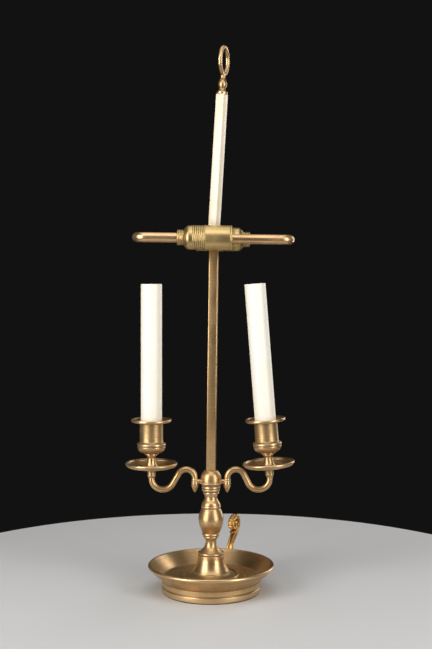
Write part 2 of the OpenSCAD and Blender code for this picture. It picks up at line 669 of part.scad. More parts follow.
// ---- Post and hub ----
module post() {
    top = hub_height - hub_under;
    color(BRASS) on_post() rotate([0, 0, post_turn]) difference() {
        translate([0, 0, -socket_depth]) square_bar(post_side, post_bevel, top + socket_depth);
        translate([0, 0, -socket_depth - 1]) square_bar(post_inner, 0.2, top + socket_depth + 2);
        translate([0, 0, top - spigot_len / 2]) rotate([-90, 0, 0]) cylinder(r = screw_r + fit_gap, h = post_side);
    }
}
module post_plug() {
    color(BRASS) difference() {
        on_post(-socket_depth) rotate([0, 0, post_turn])
            square_bar(post_inner - 2 * fit_gap, 0.3, plug_len);
        cylinder(r = tie_hole_r, h = tie_top + 0.2);
        cylinder(r = wire_bore_r, h = tie_top + plug_len);
    }
}
screw_r = 1.5;
module hub() {
    color(BRASS) difference() {
        union() {
            on_post(hub_height - hub_under) translate([-hub_x, -hub_y, 0])
                cube([2 * hub_x, 2 * hub_y, hub_under + hub_over + 2]);
            on_post(hub_height) for (x = [-1, 1]) translate([x * hub_x, 0, 0]) rotate([0, x * 90, 0])
                cylinder(r = tube_bore_r - fit_gap, h = 7);
            on_post(hub_height - hub_under - spigot_len) rotate([0, 0, post_turn])
                square_bar(post_inner - 2 * fit_gap, 0.3, spigot_len + 1);
        }
        on_hub() translate([-20, -20, 0]) cube(40);
        on_hub() translate([0, 0, -stud_reach - 0.4]) cylinder(r = stud_r + run_gap, h = 20);
        on_post(hub_height - hub_under - spigot_len - 1) cylinder(r = wire_bore_r, h = hub_under + spigot_len + 2.5);
        on_post(hub_height) translate([-hub_x - 8, 0, 0]) along_x() cylinder(r = wire_bore_r, h = 2 * hub_x + 16);
        on_post(hub_height - hub_under - spigot_len / 2) rotate([0, 0, post_turn])
            translate([0, wire_bore_r, 0]) rotate([-90, 0, 0]) cylinder(r = screw_r + fit_gap, h = 10);
    }
}
module post_screw() {
    color(BRASS) on_post(hub_height - hub_under - spigot_len / 2) rotate([0, 0, post_turn]) {
        translate([0, wire_bore_r + 0.4, 0]) rotate([-90, 0, 0])
            cylinder(r = screw_r, h = post_side / 2 - wire_bore_r);
        translate([0, post_side / 2 + 0.05, 0]) rotate([-90, 0, 0]) turned(concat([[0, 0], [2.8, 0]],
            run(2.8, 0.6, 0.8, 1.8, "shrink", 5), [[0, 1.8]]));
    }
}

// ---- Tube arms and lampholders ----
// A bar along a tube arm's middle line: out from the hub, round the bend, and back to x_end
module u_bar(r, x_start, x_end) {
    translate([-bend_x, 0, 0]) along_x() cylinder(r = r, h = bend_x - x_start);
    translate([-bend_x, -bend_r, 0]) rotate([0, 0, 90])
        rotate_extrude(angle = 180) translate([bend_r, 0]) circle(r = r);
    translate([-bend_x, -holder_y, 0]) along_x() cylinder(r = r, h = bend_x + x_end);
}
module tube_arm(side) {
    x_end = tube_end_x + tube_entry;
    color(BRONZE) on_post(hub_height) rotate([0, 0, side == "left" ? 0 : 180]) difference() {
        u_bar(tube_r, hub_x, x_end);
        u_bar(tube_bore_r, hub_x - 1, x_end + 1);
    }
}
module tail_lead(side) {
    color(CABLE) on_post(hub_height) rotate([0, 0, side == "left" ? 0 : 180])
        u_bar(tail_lead_r, tail_lead_r + 0.5, insulator_back);
}
module holder_nut(side) {
    step = (nut_len - 1) / 4;
    color(POLISHED) on_holder(side) translate([tube_end_x, 0, 0]) along_x() difference() {
        turned(concat([[0, 0], [nut_r - 1.2, 0]],
            [for (i = [0:3]) each bead(nut_r - 0.9, 0.3 + i * step, 0.3 + (i + 1) * step, 0.8, 6)],
            [[nut_r - 0.9, nut_len], [0, nut_len]]));
        translate([0, 0, -1]) cylinder(r = tube_r + fit_gap, h = tube_entry + 1.2);
        cylinder(r = tube_bore_r, h = nut_len + 1);
    }
}
module holder_cap(side) {
    color(POLISHED) on_holder(side) translate([nut_x, 0, 0]) along_x() difference() {
        turned(concat([[0, 0]], run(nut_r + 0.6, 0, shell_r - 0.5, 0.62 * cap_len, "swell", 10),
            [[shell_r - 0.5, cap_len], [0, cap_len]]));
        translate([0, 0, 1.4]) cylinder(r = nut_r - 0.6, h = cap_len);
        translate([0, 0, 0.55 * cap_len]) cylinder(r = shell_r - 0.5 - shell_wall, h = cap_len);
        translate([0, 0, -1]) cylinder(r = tube_bore_r, h = 4);
    }
}
module ribbed_ring(side) {
    pitch = rib_len / rib_count;
    color(POLISHED) on_holder(side) translate([cap_x, 0, 0]) along_x() turned(concat(
        [[shell_r - 0.5 - shell_wall, 0]],
        [for (i = [0:rib_count - 1]) each bead(shell_r - 0.7, i * pitch + 0.1, (i + 1) * pitch - 0.1, 0.5, 6)],
        [[shell_r - 0.5 - shell_wall, rib_len]]));
}
module holder_shell(side) {
    color(POLISHED) on_holder(side) translate([rib_x, 0, 0]) along_x() difference() {
        turned(concat([[0, 0], [shell_r, 0], [shell_r, shell_len - 2.2], [shell_r - 0.25, shell_len - 1.9]],
            bead(shell_r - 0.1, shell_len - 1.8, shell_len, 0.4, 6), [[0, shell_len]]));
        translate([0, 0, -1]) cylinder(r = shell_r - shell_wall, h = shell_len + 2);
    }
}
module insulator(side) {
    seat = shell_r - 0.5 - shell_wall - fit_gap;
    color(CERAMIC) on_holder(side) along_x() difference() {
        union() {
            translate([0, 0, insulator_back]) cylinder(r = seat, h = thread_x - insulator_back);
            translate([0, 0, thread_x - 0.5])
                cylinder(r = thread_r + sleeve_wall + 2.6, h = thread_len + 0.5);
        }
        translate([0, 0, thread_x]) cylinder(r = thread_r + sleeve_wall + fit_gap, h = thread_len + 5);
    }
}
module thread_sleeve(side) {
    color(BRASS) on_holder(side) translate([thread_x, 0, 0]) along_x() difference() {
        cylinder(r = thread_r + sleeve_wall, h = thread_len);
        translate([0, 0, 0.8]) cylinder(r = thread_r, h = thread_len);
    }
}

// ---- Leads ----
// The riser runs from the terminal block to the stem's axis, turns up, and leans with the post
module riser_lead() {
    top = hub_height - tail_lead_r - 0.3;
    bend_z = lead_z + lead_bend_r;
    color(CABLE) {
        translate([0, lead_bend_r, lead_z]) rotate([-90, 0, 0])
            cylinder(r = lead_r, h = terminal_y + 1.5 - lead_bend_r);
        translate([0, lead_bend_r, bend_z]) rotate([90, 0, 90]) rotate([0, 0, 180])
            rotate_extrude(angle = 90) translate([lead_bend_r, 0]) circle(r = lead_r);
        translate([0, 0, bend_z]) cylinder(r = lead_r, h = post_z - bend_z - braze);
        translate([0, 0, post_z]) sphere(r = lead_r + braze / 2);
        on_post(braze) cylinder(r = lead_r, h = top - braze);
    }
}

// ---- Shade rod and finial ----
module shade_rod() {
    color(IVORY) on_hub() rotate([0, 0, rod_turn]) difference() {
        translate([0, 0, seat_gap]) square_bar(post_side, post_bevel, rod_len - seat_gap);
        cylinder(r = stud_r + fit_gap, h = stud_reach + 1);
        translate([0, 0, rod_len - tang_len - 1]) cylinder(r = tang_r + fit_gap, h = tang_len + 4);
    }
}
module rod_stud() {
    color(IRON) on_hub() translate([0, 0, -stud_reach]) cylinder(r = stud_r, h = 2 * stud_reach);
}
module finial_knop() {
    color(BRASS) on_hub() translate([0, 0, rod_len]) difference() {
        union() {
            translate([0, 0, -tang_len]) cylinder(r = tang_r, h = tang_len + 2);
            turned(concat([[0, 0]],
                [[6.3, 0], [6.5, 0.5], [6.5, 2.3], [6.1, 2.9]],
                run(5.7, 3.1, 3.6, knop_foot, "flare", 5),
                [for (i = [1:11]) [3.4 + (knop_r - 3.4) * pow(sin(180 * i / 12), 0.7),
                    knop_foot + (knop_h - knop_foot - 0.4) * i / 12]],
                [[3.5, knop_h], [0, knop_h]]));
        }
        translate([0, 0, knop_h - 5]) cylinder(r = 1.8 + fit_gap, h = 10);
    }
}
module ring_finial() {
    section = [for (i = [0:15]) let(a = 360 * i / 16)
        [ring_r - ring_band / 2 + ring_band / 2 * sign(cos(a)) * pow(abs(cos(a)), 0.8),
         ring_w / 2 * sign(sin(a)) * pow(abs(sin(a)), 0.8)]];
    color(BRASS) on_hub() translate([0, 0, rod_len + knop_h]) {
        translate([0, 0, -4.6]) cylinder(r = 1.8, h = 6);
        turned(concat([[0, 0]], run(neck_rod_r + 0.7, 0, neck_rod_r - 0.5, 1.8, "flare", 4),
            run(neck_rod_r - 0.5, 2, neck_rod_r - 0.2, neck_h + 1.2, "shrink", 4), [[0, neck_h + 1.2]]));
        translate([0, 0, neck_h + ring_r]) rotate([0, 0, ring_turn]) rotate([0, 90, 0]) turned(section);
    }
}

felt_pad();
base_dish();
base_weight();
tie_rod_washer();
tie_rod_nut();
tie_rod();
terminal_block();
cable_bushing();
scroll_handle();
handle_screws();
bell_foot();
double_collar();
vase_body();
waist();
capital();
bracket("left");  // left_bracket
bracket("right");  // right_bracket
arm("left");  // left_arm
arm("right");  // right_arm
boss("left");  // left_boss
boss("right");  // right_boss
drip_pan("left");  // left_drip_pan
drip_pan("right");  // right_drip_pan
spool("left");  // left_spool
spool("right");  // right_spool
bowl("left");  // left_bowl
bowl("right");  // right_bowl
candle_cup("left");  // left_candle_cup
candle_cup("right");  // right_candle_cup
nipple("left");  // left_nipple
nipple("right");  // right_nipple
cup_nut("left");  // left_cup_nut
cup_nut("right");  // right_cup_nut
candle("left");  // left_candle
candle("right");  // right_candle
post();
post_plug();
hub();
post_screw();
tube_arm("left");  // left_tube_arm
tube_arm("right");  // right_tube_arm
holder_nut("front");  // front_nut
holder_nut("rear");  // rear_nut
holder_cap("front");  // front_cap
holder_cap("rear");  // rear_cap
ribbed_ring("front");  // front_ribbed_ring
ribbed_ring("rear");  // rear_ribbed_ring
holder_shell("front");  // front_shell
holder_shell("rear");  // rear_shell
insulator("front");  // front_insulator
insulator("rear");  // rear_insulator
thread_sleeve("front");  // front_thread_sleeve
thread_sleeve("rear");  // rear_thread_sleeve
riser_lead();
tail_lead("left");  // left_lead
tail_lead("right");  // right_lead
shade_rod();
rod_stud();
finial_knop();
ring_finial();
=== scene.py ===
"""A two-light bouillotte lamp: turned, cast and enamelled surfaces dressed over its packed frame.

Every surface is a function of two parameters on a grid, worked out in millimetres in the frame of the
piece that carries it, and then placed in metres. Profiles are lists of [radius, height].
"""

import bmesh
import bpy
import numpy as np
from bpy.props import FloatProperty, FloatVectorProperty, IntProperty, PointerProperty
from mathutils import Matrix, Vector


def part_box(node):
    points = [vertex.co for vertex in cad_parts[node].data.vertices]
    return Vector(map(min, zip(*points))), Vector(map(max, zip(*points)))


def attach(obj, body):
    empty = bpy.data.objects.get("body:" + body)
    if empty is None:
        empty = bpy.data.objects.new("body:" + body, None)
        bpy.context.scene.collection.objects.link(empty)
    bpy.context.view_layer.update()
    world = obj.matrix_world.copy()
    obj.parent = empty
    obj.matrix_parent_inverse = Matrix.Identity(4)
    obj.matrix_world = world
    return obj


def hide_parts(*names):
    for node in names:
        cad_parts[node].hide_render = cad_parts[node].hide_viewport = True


bl_info = {
    "name": "Bouillotte lamp",
    "version": (1, 0, 0),
    "blender": (4, 5, 0),
    "location": "View3D > Sidebar > Lamp",
    "description": "Dresses a two-light bouillotte lamp over its packed frame",
    "category": "Object",
}

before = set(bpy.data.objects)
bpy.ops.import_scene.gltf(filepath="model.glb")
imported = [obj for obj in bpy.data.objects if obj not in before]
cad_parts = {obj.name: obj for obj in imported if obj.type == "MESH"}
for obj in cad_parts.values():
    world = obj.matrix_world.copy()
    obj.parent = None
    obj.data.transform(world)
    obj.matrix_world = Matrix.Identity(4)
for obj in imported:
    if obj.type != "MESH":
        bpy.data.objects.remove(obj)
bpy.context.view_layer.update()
MM = 0.001


# ---- Sizes read from the frame, in millimetres ----
def width(node):
    """Half of a node's width along X."""
    low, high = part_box(node)
    return (high[0] - low[0]) / 2 / MM


def top(node):
    """Height of a node's top."""
    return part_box(node)[1][2] / MM


def bottom(node):
    """Height of a node's underside."""
    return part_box(node)[0][2] / MM


def tall(node):
    """A node's own height."""
    return top(node) - bottom(node)


def length(label, about, value):
    """A size, given in millimetres, that the sidebar shows as a length."""
    return FloatProperty(name=label, description=about, default=value * MM, unit="LENGTH", precision=5)


def angle(label, about, degrees):
    """An angle, kept in degrees."""
    return FloatProperty(name=label, description=about, default=degrees)


def metres(label, about, value):
    """A length in the studio, given in metres."""
    return FloatProperty(name=label, description=about, default=value, unit="LENGTH")


def watts(label, about, value):
    """The power of a light."""
    return FloatProperty(name=label, description=about, default=value, unit="POWER")


def paint(label, about, red, green, blue):
    """A colour in linear light."""
    return FloatVectorProperty(name=label, description=about, default=(red, green, blue), subtype="COLOR",
                               size=3, min=0, max=1)


class BaseSizes(bpy.types.PropertyGroup):
    """Dish, foot and handle"""
    foot_r: length("Foot", "Radius of the foot band", 57.4)
    lip_r: length("Lip", "Radius of the dish's rolled lip", width("base_dish"))
    lip_z: length("Lip height", "Height of the lip", top("base_dish"))
    floor_z: length("Floor", "Height of the dish's floor", bottom("bell_foot"))
    floor_r: length("Floor radius", "Radius of the flat floor", 53.6)
    felt_t: length("Felt", "Thickness of the felt", top("felt_pad"))
    wall: length("Wall", "Thickness of the dish", 2.6)
    lip_bead: length("Lip bead", "Radius of the rolled lip", 2.1)
    groove: length("Groove", "Depth of the foot's grooves", 0.7)
    cable_hole_r: length("Cable hole", "Radius of the hole for the bushing", 3.65)
    handle_a: length("Scroll length", "Half length of the scroll's oval", 13)
    handle_b: length("Scroll height", "Half height of the scroll's oval", 8.9)
    handle_t: length("Scroll thickness", "Thickness of the scroll", 8)
    handle_band: length("Scroll band", "Width of the scroll's band at its root", 5)
    handle_turn: angle("Scroll turn", "Turn of the scroll from straight back", 18)


class StemSizes(bpy.types.PropertyGroup):
    """Bell, collar, vase, waist and capital"""
    flange_r: length("Flange", "Radius of the flange under the bell", width("bell_foot"))
    bell_h: length("Bell height", "Height of the bell", tall("bell_foot"))
    bell_r: length("Bell", "Radius of the bell over its flange", 21)
    step_r: length("Step", "Radius of the bell's step ring", 15.2)
    neck_r: length("Neck", "Smallest radius over the bell", 6.3)
    collar_r: length("Collar", "Radius of the double collar", width("double_collar"))
    collar_h: length("Collar height", "Height of the double collar", tall("double_collar"))
    vase_r: length("Vase", "Largest radius of the vase", width("vase_body"))
    vase_h: length("Vase height", "Height of the vase", tall("vase_body"))
    shoulder_r: length("Shoulder", "Radius of the vase's shoulder", 11.4)
    waist_r: length("Waist", "Smallest radius of the waist", 7.2)
    waist_h: length("Waist height", "Height of the waist", tall("waist"))
    capital_r: length("Capital", "Radius of the capital", 12)
    capital_h: length("Capital height", "Height of the capital", tall("capital"))
    bore_r: length("Bore", "Radius of the tie rod's bore", 4.05)


class ArmSizes(bpy.types.PropertyGroup):
    """Brackets, swing arms and candle holders"""
    pivot_x: length("Pivot", "Distance of each pivot from the stem", 18.8)
    joint_z: length("Joint", "Height at which arm and bracket meet", top("left_bracket"))
    arm_r: length("Arm", "Radius of the arms' bar", 3.5)
    arc_z: length("Arcs", "Height of the arms' bends", 131)
    arc_up_r: length("Upper arc", "Radius of the arms' upper bend", 10.2)
    arc_down_r: length("Lower arc", "Radius of the arms' lower bend", 13.3)
    reach: length("Reach", "Distance of the left candle from the stem", 69.4)
    draw_in: length("Draw in", "How much nearer the right candle stands", 0.9)
    right_lean: angle("Right lean", "Lean of the right candle towards the stem", 4.4)
    boss_h: length("Boss", "Height of the boss under each pan", 11)
    pan_r: length("Pan", "Radius of the drip pans", width("left_drip_pan"))
    pan_h: length("Pan rim", "Rise of the pans' rims", tall("left_drip_pan"))
    spool_h: length("Spool", "Height of the spools", tall("left_spool"))
    bowl_r: length("Bowl", "Radius of the bowls", width("left_bowl"))
    bowl_h: length("Bowl height", "Height of the bowls", tall("left_bowl"))
    cup_r: length("Cup", "Radius of the candle cups", 13.6)
    cup_h: length("Cup height", "Height of the candle cups", tall("left_candle_cup"))
    flange_r: length("Cup flange", "Radius of the cups' flanges", width("left_candle_cup"))
    flange_t: length("Flange height", "Height of the cups' flanges", 4)
    flange_rim: length("Flange rim", "Height of the rim round each flange", 3.2)
    candle_r: length("Candle", "Radius of the candle tubes", width("left_candle"))
    candle_wall: length("Candle wall", "Wall of the candle tubes", 1.3)
    candle_len: length("Candle length", "Length of the candle tubes", tall("left_candle"))


class PostSizes(bpy.types.PropertyGroup):
    """Post, hub, shade rod and finial"""
    side: length("Side", "Side of the post and of the shade rod", 10.6)
    edge: length("Edge", "Rounding of their edges", 1.0)
    foot_z: length("Foot of the post", "Height of the capital's top", top("capital"))
    lean: angle("Post lean", "Lean of the post to the right", 0.75)
    turn: angle("Post turn", "Turn of the post about its length", -5)
    hub_s: length("Hub", "Height of the lampholders over the capital", 270)
    hub_x: length("Hub width", "Half width of the hub", 8.5)
    hub_y: length("Hub depth", "Half depth of the hub", 6.2)
    hub_under: length("Hub under", "How far the hub reaches below the tubes' centre", 12)
    hub_over: length("Hub over", "How far the hub reaches over the tubes' centre", 14.6)
    rod_len: length("Rod", "Length of the shade rod", 153.5)
    rod_lean: angle("Rod lean", "Lean of the rod from the post", 2.65)
    rod_turn: angle("Rod turn", "Turn of the rod about its length", -30)
    knop_r: length("Knop", "Radius of the finial's knop", 5.1)
    knop_h: length("Knop height", "Height of the finial's knop", 17)
    neck_h: length("Ring neck", "Height of the ring's neck", 4.6)
    ring_r: length("Ring", "Outer radius of the ring", 17.69)
    ring_band: length("Ring band", "Thickness of the ring", 3.9)
    ring_w: length("Ring width", "Width of the ring along its axis", 4.5)
    ring_turn: angle("Ring turn", "Turn of the ring's axis", -16)


class LampholderSizes(bpy.types.PropertyGroup):
    """Tube arms and lampholders"""
    off_y: length("Offset", "Distance of a lampholder's axis from the post", 21)
    mouth_x: length("Mouth", "Where the shell's mouth stands past the post", 20.6)
    shell_r: length("Shell", "Radius of the smooth shell", 14.4)
    shell_len: length("Shell length", "Length of the smooth shell", 30.9)
    shell_wall: length("Shell wall", "Wall of the shell", 1)
    rib_len: length("Ribbed ring", "Length of the ribbed ring", 14.3)
    ribs: IntProperty(name="Ribs", description="Ribs on the ribbed ring", default=6, min=3)
    cap_len: length("Cap", "Length of the domed cap", 9.8)
    nut_r: length("Nut", "Radius of the nut", 9.2)
    nut_len: length("Nut length", "Length of the nut", 8)
    thread_r: length("Thread", "Inner radius of the lamp's thread", 7)
    thread_len: length("Thread length", "Length of the threaded sleeve", 17)
    tube_r: length("Tube", "Radius of the tube arms", 5.5)
    tube_reach: length("Tube reach", "How far each tube reaches from the post", 94.6)


class Finishes(bpy.types.PropertyGroup):
    """Colours of the finishes"""
    brass: paint("Brass", "Satin brass", 0.61, 0.385, 0.18)
    brass_shade: paint("Brass, toned", "Darker tone in the brass", 0.30, 0.20, 0.085)
    # Painted highlight: this lighter brass is laid on edges and ridges by turned_metal.
    brass_glow: paint("Brass, rubbed", "Rubbed edges of the brass", 0.82, 0.60, 0.35)
    holder: paint("Lampholder brass", "Pale olive brass", 0.52, 0.37, 0.16)
    holder_shade: paint("Lampholder, toned", "Darker tone in the pale brass", 0.38, 0.265, 0.095)
    tube: paint("Tube bronze", "Copper-toned satin tube", 0.74, 0.48, 0.25)
    tube_shade: paint("Tube, toned", "Darker tone in the tube", 0.46, 0.27, 0.12)
    gilt: paint("Gilt", "Gilt casting", 0.64, 0.345, 0.10)
    gilt_shade: paint("Gilt, hollows", "Dark wax in the casting's hollows", 0.15, 0.07, 0.02)
    ivory: paint("Ivory enamel", "Cream paint on the shade rod", 0.84, 0.73, 0.56)
    candle: paint("Candle", "Cream-white candle tube", 0.86, 0.81, 0.71)
    ceramic: paint("Ceramic", "Glazed insulator", 0.80, 0.78, 0.72)
    # Green felt, darkened well past its own colour so that its thin edge under the foot reads as painted
    # contact shadow.
    felt: paint("Felt", "Dark green felt", 0.014, 0.032, 0.018)
    steel: paint("Steel", "Plated steel", 0.55, 0.54, 0.52)
    iron: paint("Iron", "Cast iron", 0.06, 0.06, 0.065)
    cable: paint("Lead", "Brown insulated lead", 0.075, 0.045, 0.025)


class StudioSettings(bpy.types.PropertyGroup):
    """Camera, floor and lights"""
    eye_x: metres("Camera X", "Camera to the right", 0.0058)
    eye_y: metres("Camera Y", "Camera in front", -1.287)
    eye_z: metres("Camera height", "Height of the camera", 0.364)
    lens: FloatProperty(name="Lens", description="Focal length in mm", default=61.3)
    shift: FloatProperty(name="Shift", description="Vertical shift of the frame", default=-0.0717)
    key: watts("Key", "Left softbox in watts", 19)
    fill: watts("Fill", "Right softbox in watts", 12)
    rim: watts("Rim", "Light behind on the right in watts", 4)
    high: watts("High front", "Softbox high in front in watts", 6)
    over: watts("Overhead", "Soft light overhead in watts", 8)
    floor: paint("Floor", "Plain pale floor", 0.62, 0.61, 0.60)
    room: paint("Room", "Plain dark room", 0.006, 0.006, 0.006)
    floor_r: metres("Floor radius", "Radius of the floor", 0.42)


def millimetres(group):
    """A group's sizes as plain numbers: lengths in millimetres, angles and counts as they stand."""
    values = {}
    for item in group.bl_rna.properties:
        if item.type in {"FLOAT", "INT"} and not getattr(item, "is_array", False):
            value = getattr(group, item.identifier)
            values[item.identifier] = value / MM if item.unit == "LENGTH" else value
    return type("Sizes", (), values)


# ---- Places: 4 x 4 matrices, in millimetres ----
def shift(x=0.0, y=0.0, z=0.0):
    """A move."""
    place = np.eye(4)
    place[:3, 3] = x, y, z
    return place


def spin(axis, degrees):
    """A turn about X, Y or Z by the right-hand rule."""
    one, two = {"X": (1, 2), "Y": (2, 0), "Z": (0, 1)}[axis]
    c, s = np.cos(np.radians(degrees)), np.sin(np.radians(degrees))
    place = np.eye(4)
    place[one, one] = place[two, two] = c
    place[one, two], place[two, one] = -s, s
    return place


def mirrored(side):
    """The left side as the mirror of the right one."""
    return np.diag([-1.0 if side == "left" else 1.0, 1, 1, 1])


ALONG_X = spin("Y", 90)


def on_post(post, s=0.0):
    """The place on the leaning post at a distance s over the capital."""
    return shift(z=post.foot_z) @ spin("Y", post.lean) @ shift(z=s)


def on_hub(post):
    """The place of the shade rod's foot, along its own lean."""
    return on_post(post, post.hub_s + post.hub_over) @ spin("Y", post.rod_lean)


def on_holder(post, holder, side):
    """The place of a lampholder, with Z along it towards its mouth."""
    turn = 0 if side == "front" else 180
    return on_post(post, post.hub_s) @ spin("Z", turn) @ shift(y=-holder.off_y) @ ALONG_X


def on_arm(arm, side):
    """The place at the end of an arm, with Z along its candle."""
    lean, reach = arm_lean(arm, side), arm_reach(arm, side)
    return (mirrored(side) @ shift(reach - arm.arc_down_r, 0, arm.arc_z) @ spin("Y", -lean)
            @ shift(x=arm.arc_down_r))


def arm_lean(arm, side):
    """How far a candle leans towards the stem, in degrees."""
    return arm.right_lean if side == "right" else 0.0


def arm_reach(arm, side):
    """How far a candle stands from the stem."""
    return arm.reach - (arm.draw_in if side == "right" else 0.0)


# ---- Profiles ----
EASES = {
    "line": lambda t: t,
    "swell": lambda t: np.sin(t * np.pi / 2),
    "shrink": lambda t: 1 - np.cos(t * np.pi / 2),
    "ogee": lambda t: (1 - np.cos(t * np.pi)) / 2,
    "flare": lambda t: 1 - (1 - t) ** 2.2,
    "dome": lambda t: t ** 3,
    "round": lambda t: np.sqrt(1 - (1 - t) ** 2),
}


def run(r0, z0, r1, z1, shape="line", steps=14):
    """Profile points from (r0, z0) to (r1, z1): the height is even in t, the radius follows an ease of t."""
    t = np.linspace(0, 1, steps + 1)
    return np.stack([r0 + (r1 - r0) * EASES[shape](t), z0 + (z1 - z0) * t], 1)


def bead(r, z0, z1, out, steps=12):
    """A half-round bead: r + out sin a, and the height by (1 - cos a) / 2, for a from 0 to 180 degrees."""
    a = np.linspace(0, np.pi, steps + 1)
    return np.stack([r + out * np.sin(a), z0 + (z1 - z0) * (1 - np.cos(a)) / 2], 1)


def joined(*parts):
    """Points and runs of points as one profile."""
    return np.concatenate([np.atleast_2d(np.asarray(part, float)) for part in parts])


def bored(radius, profile):
    """A profile closed along a bore of that radius."""
    return joined([radius, profile[0, 1]], profile, [radius, profile[-1, 1]])


def softened(points, closed, radius):
    """Each corner over 12 degrees becomes the curve (1-s)^2 a + 2s(1-s) p + s^2 b, where a and b lie a
    little way from the corner p along its two sides."""
    gaps = np.linalg.norm(np.diff(points, axis=0, append=points[:1]), axis=1)
    keep = gaps > 1e-3
    if not closed:
        keep[-1] = True
    points = points[keep]
    back, ahead = np.roll(points, 1, 0) - points, np.roll(points, -1, 0) - points
    back_len, ahead_len = np.linalg.norm(back, axis=1) + 1e-9, np.linalg.norm(ahead, axis=1) + 1e-9
    most_of_side, steps, sharp_angle = 0.45, 5, np.radians(12)
    a = points + back * np.minimum(radius / back_len, most_of_side)[:, None]
    b = points + ahead * np.minimum(radius / ahead_len, most_of_side)[:, None]
    straight = np.clip(-(back * ahead).sum(1) / back_len / ahead_len, -1, 1)
    sharp = np.arccos(straight) > sharp_angle
    if not closed:
        sharp[[0, -1]] = False
    s = np.linspace(0, 1, steps)[None, :, None]
    arcs = (1 - s) ** 2 * a[:, None] + 2 * s * (1 - s) * points[:, None] + s ** 2 * b[:, None]
    middle = steps // 2
    arcs[~sharp, middle] = points[~sharp]
    chosen = np.zeros(arcs.shape[:2], bool)
    chosen[:, middle] = True
    chosen[sharp] = True
    return arcs[chosen]


def hollows(points, closed, reach=1.8, depth=0.2, spacing=0.1):
    """(distance along the profile, depth in a hollow). The depth is how far a point lies inside the
    profile's own running mean, along the outward normal: +1 in a groove and -1 on an edge."""
    loop = np.vstack([points, points[:1]]) if closed else points
    s = np.concatenate([[0], np.cumsum(np.linalg.norm(np.diff(loop, axis=0), axis=1))])
    at = np.arange(0, s[-1], spacing)
    even = np.stack([np.interp(at, s, loop[:, k]) for k in (0, 1)], 1)
    half = min(int(reach / (2 * spacing)), len(at) // 3)
    padded = np.pad(even, ((half, half), (0, 0)), mode="wrap" if closed else "edge")
    kernel = np.full(2 * half + 1, 1 / (2 * half + 1))
    mean = np.stack([np.convolve(padded[:, k], kernel, "valid") for k in (0, 1)], 1)
    run_of = np.gradient(mean, axis=0)
    normal = np.stack([run_of[:, 1], -run_of[:, 0]], 1) / (np.linalg.norm(run_of, axis=1)[:, None] + 1e-9)
    ahead = np.roll(even, -1, 0)
    winding = np.sign((even[:, 0] * ahead[:, 1] - ahead[:, 0] * even[:, 1]).sum())
    deep = ((mean - even) * normal).sum(1) * winding
    here = s[:len(points)]
    return here, np.clip(np.interp(here, at, deep) / depth, -1, 1)


# ---- Surfaces: (vertices, quads, hollow, along) ----
def full_turn(count):
    """Angles evenly round a circle, in radians."""
    return np.arange(count) * 2 * np.pi / count


def round_z(r, z, a):
    """Points (r cos a, r sin a, z), one row for each height and one column for each angle."""
    return np.stack([r * np.cos(a), r * np.sin(a), z + 0 * a], -1).reshape(-1, 3)


def squared(wave, power):
    """A wave made squarer: sign(w) |w|^power."""
    return np.sign(wave) * np.abs(wave) ** power


def lattice(rows, cols, wrap_rows, wrap_cols):
    """Quads between neighbours on a rows x cols grid; a wrapped side joins its last line to its first."""
    i = np.arange(rows if wrap_rows else rows - 1)[:, None]
    j = np.arange(cols if wrap_cols else cols - 1)[None, :]
    i2, j2 = (i + 1) % rows, (j + 1) % cols
    return np.stack([i * cols + j, i2 * cols + j, i2 * cols + j2, i * cols + j2], -1).reshape(-1, 4)


def outward(verts, quads, hollow, along=None):
    """The surface with its faces turned outwards: flipped where its enclosed volume comes out negative."""
    a, b, c, d = (verts[quads[:, k]] for k in range(4))
    volume = (a * np.cross(b, c)).sum() + (a * np.cross(c, d)).sum()
    along = np.zeros(len(verts)) if along is None else along
    return verts, quads if volume > 0 else quads[:, ::-1], hollow, along


def turned(profile, closed=False, corner=0.3, sides=None):
    """A profile [r, z] carried round Z: (r cos a, r sin a, z) for a from 0 to 360 degrees. Where none are
    given, the sides are 48 and two for each millimetre of radius, rounded down to a multiple of four."""
    profile = softened(np.asarray(profile, float), closed, corner)
    along, hollow = hollows(profile, closed)
    sides = sides or int(48 + 2 * profile[:, 0].max()) // 4 * 4
    verts = round_z(profile[:, :1], profile[:, 1:], full_turn(sides))
    return outward(verts, lattice(len(profile), sides, closed, True), np.repeat(hollow, sides),
                   np.repeat(along, sides))


def swept(path, section, binormal, hollow=0.0):
    """A section (x to the side, y along the binormal) carried along a flat path: p + x n + y b, where n is
    the binormal crossed with the path's direction. A ring of no size closes each end."""
    path, binormal = np.asarray(path, float), np.asarray(binormal, float)
    section = np.broadcast_to(section, (len(path),) + np.shape(section)[-2:])
    ahead = np.gradient(path, axis=0)
    ahead /= np.linalg.norm(ahead, axis=1)[:, None]
    across = np.cross(binormal, ahead)
    rings = (path[:, None] + section[..., :1] * across[:, None] + section[..., 1:] * binormal)
    ends = [np.broadcast_to(path[k], (1,) + rings.shape[1:]) for k in (0, -1)]
    verts = np.concatenate([ends[0], rings, ends[1]])
    steps = np.linalg.norm(np.diff(path, axis=0), axis=1)
    along = np.concatenate([[0, 0], np.cumsum(steps), [steps.sum()]])
    shape = verts.shape[:2]
    deep = np.zeros(shape)
    deep[1:-1] = hollow
    return outward(verts.reshape(-1, 3), lattice(*shape, False, True), deep.ravel(),
                   np.repeat(along, shape[1]))


def ball(centre, radii, ripple, waves, rows=17, sides=32):
    """An ellipsoid (a cos v cos u, b sin v, c cos v sin u) whose surface ripples by cos(waves u) cos v."""
    v = np.linspace(-np.pi / 2, np.pi / 2, rows)[:, None]
    u = full_turn(sides)[None, :]
    swell = 1 + ripple * np.cos(waves * u) * np.cos(v)
    parts = [np.cos(v) * np.cos(u) * swell, np.sin(v) + 0 * u, np.cos(v) * np.sin(u) * swell]
    verts = np.stack([c + r * p for c, r, p in zip(centre, radii, parts)], -1).reshape(-1, 3)
    deep = (-ripple * 6 * np.cos(waves * u) * np.cos(v)).ravel()
    return outward(verts, lattice(rows, sides, False, True), deep)


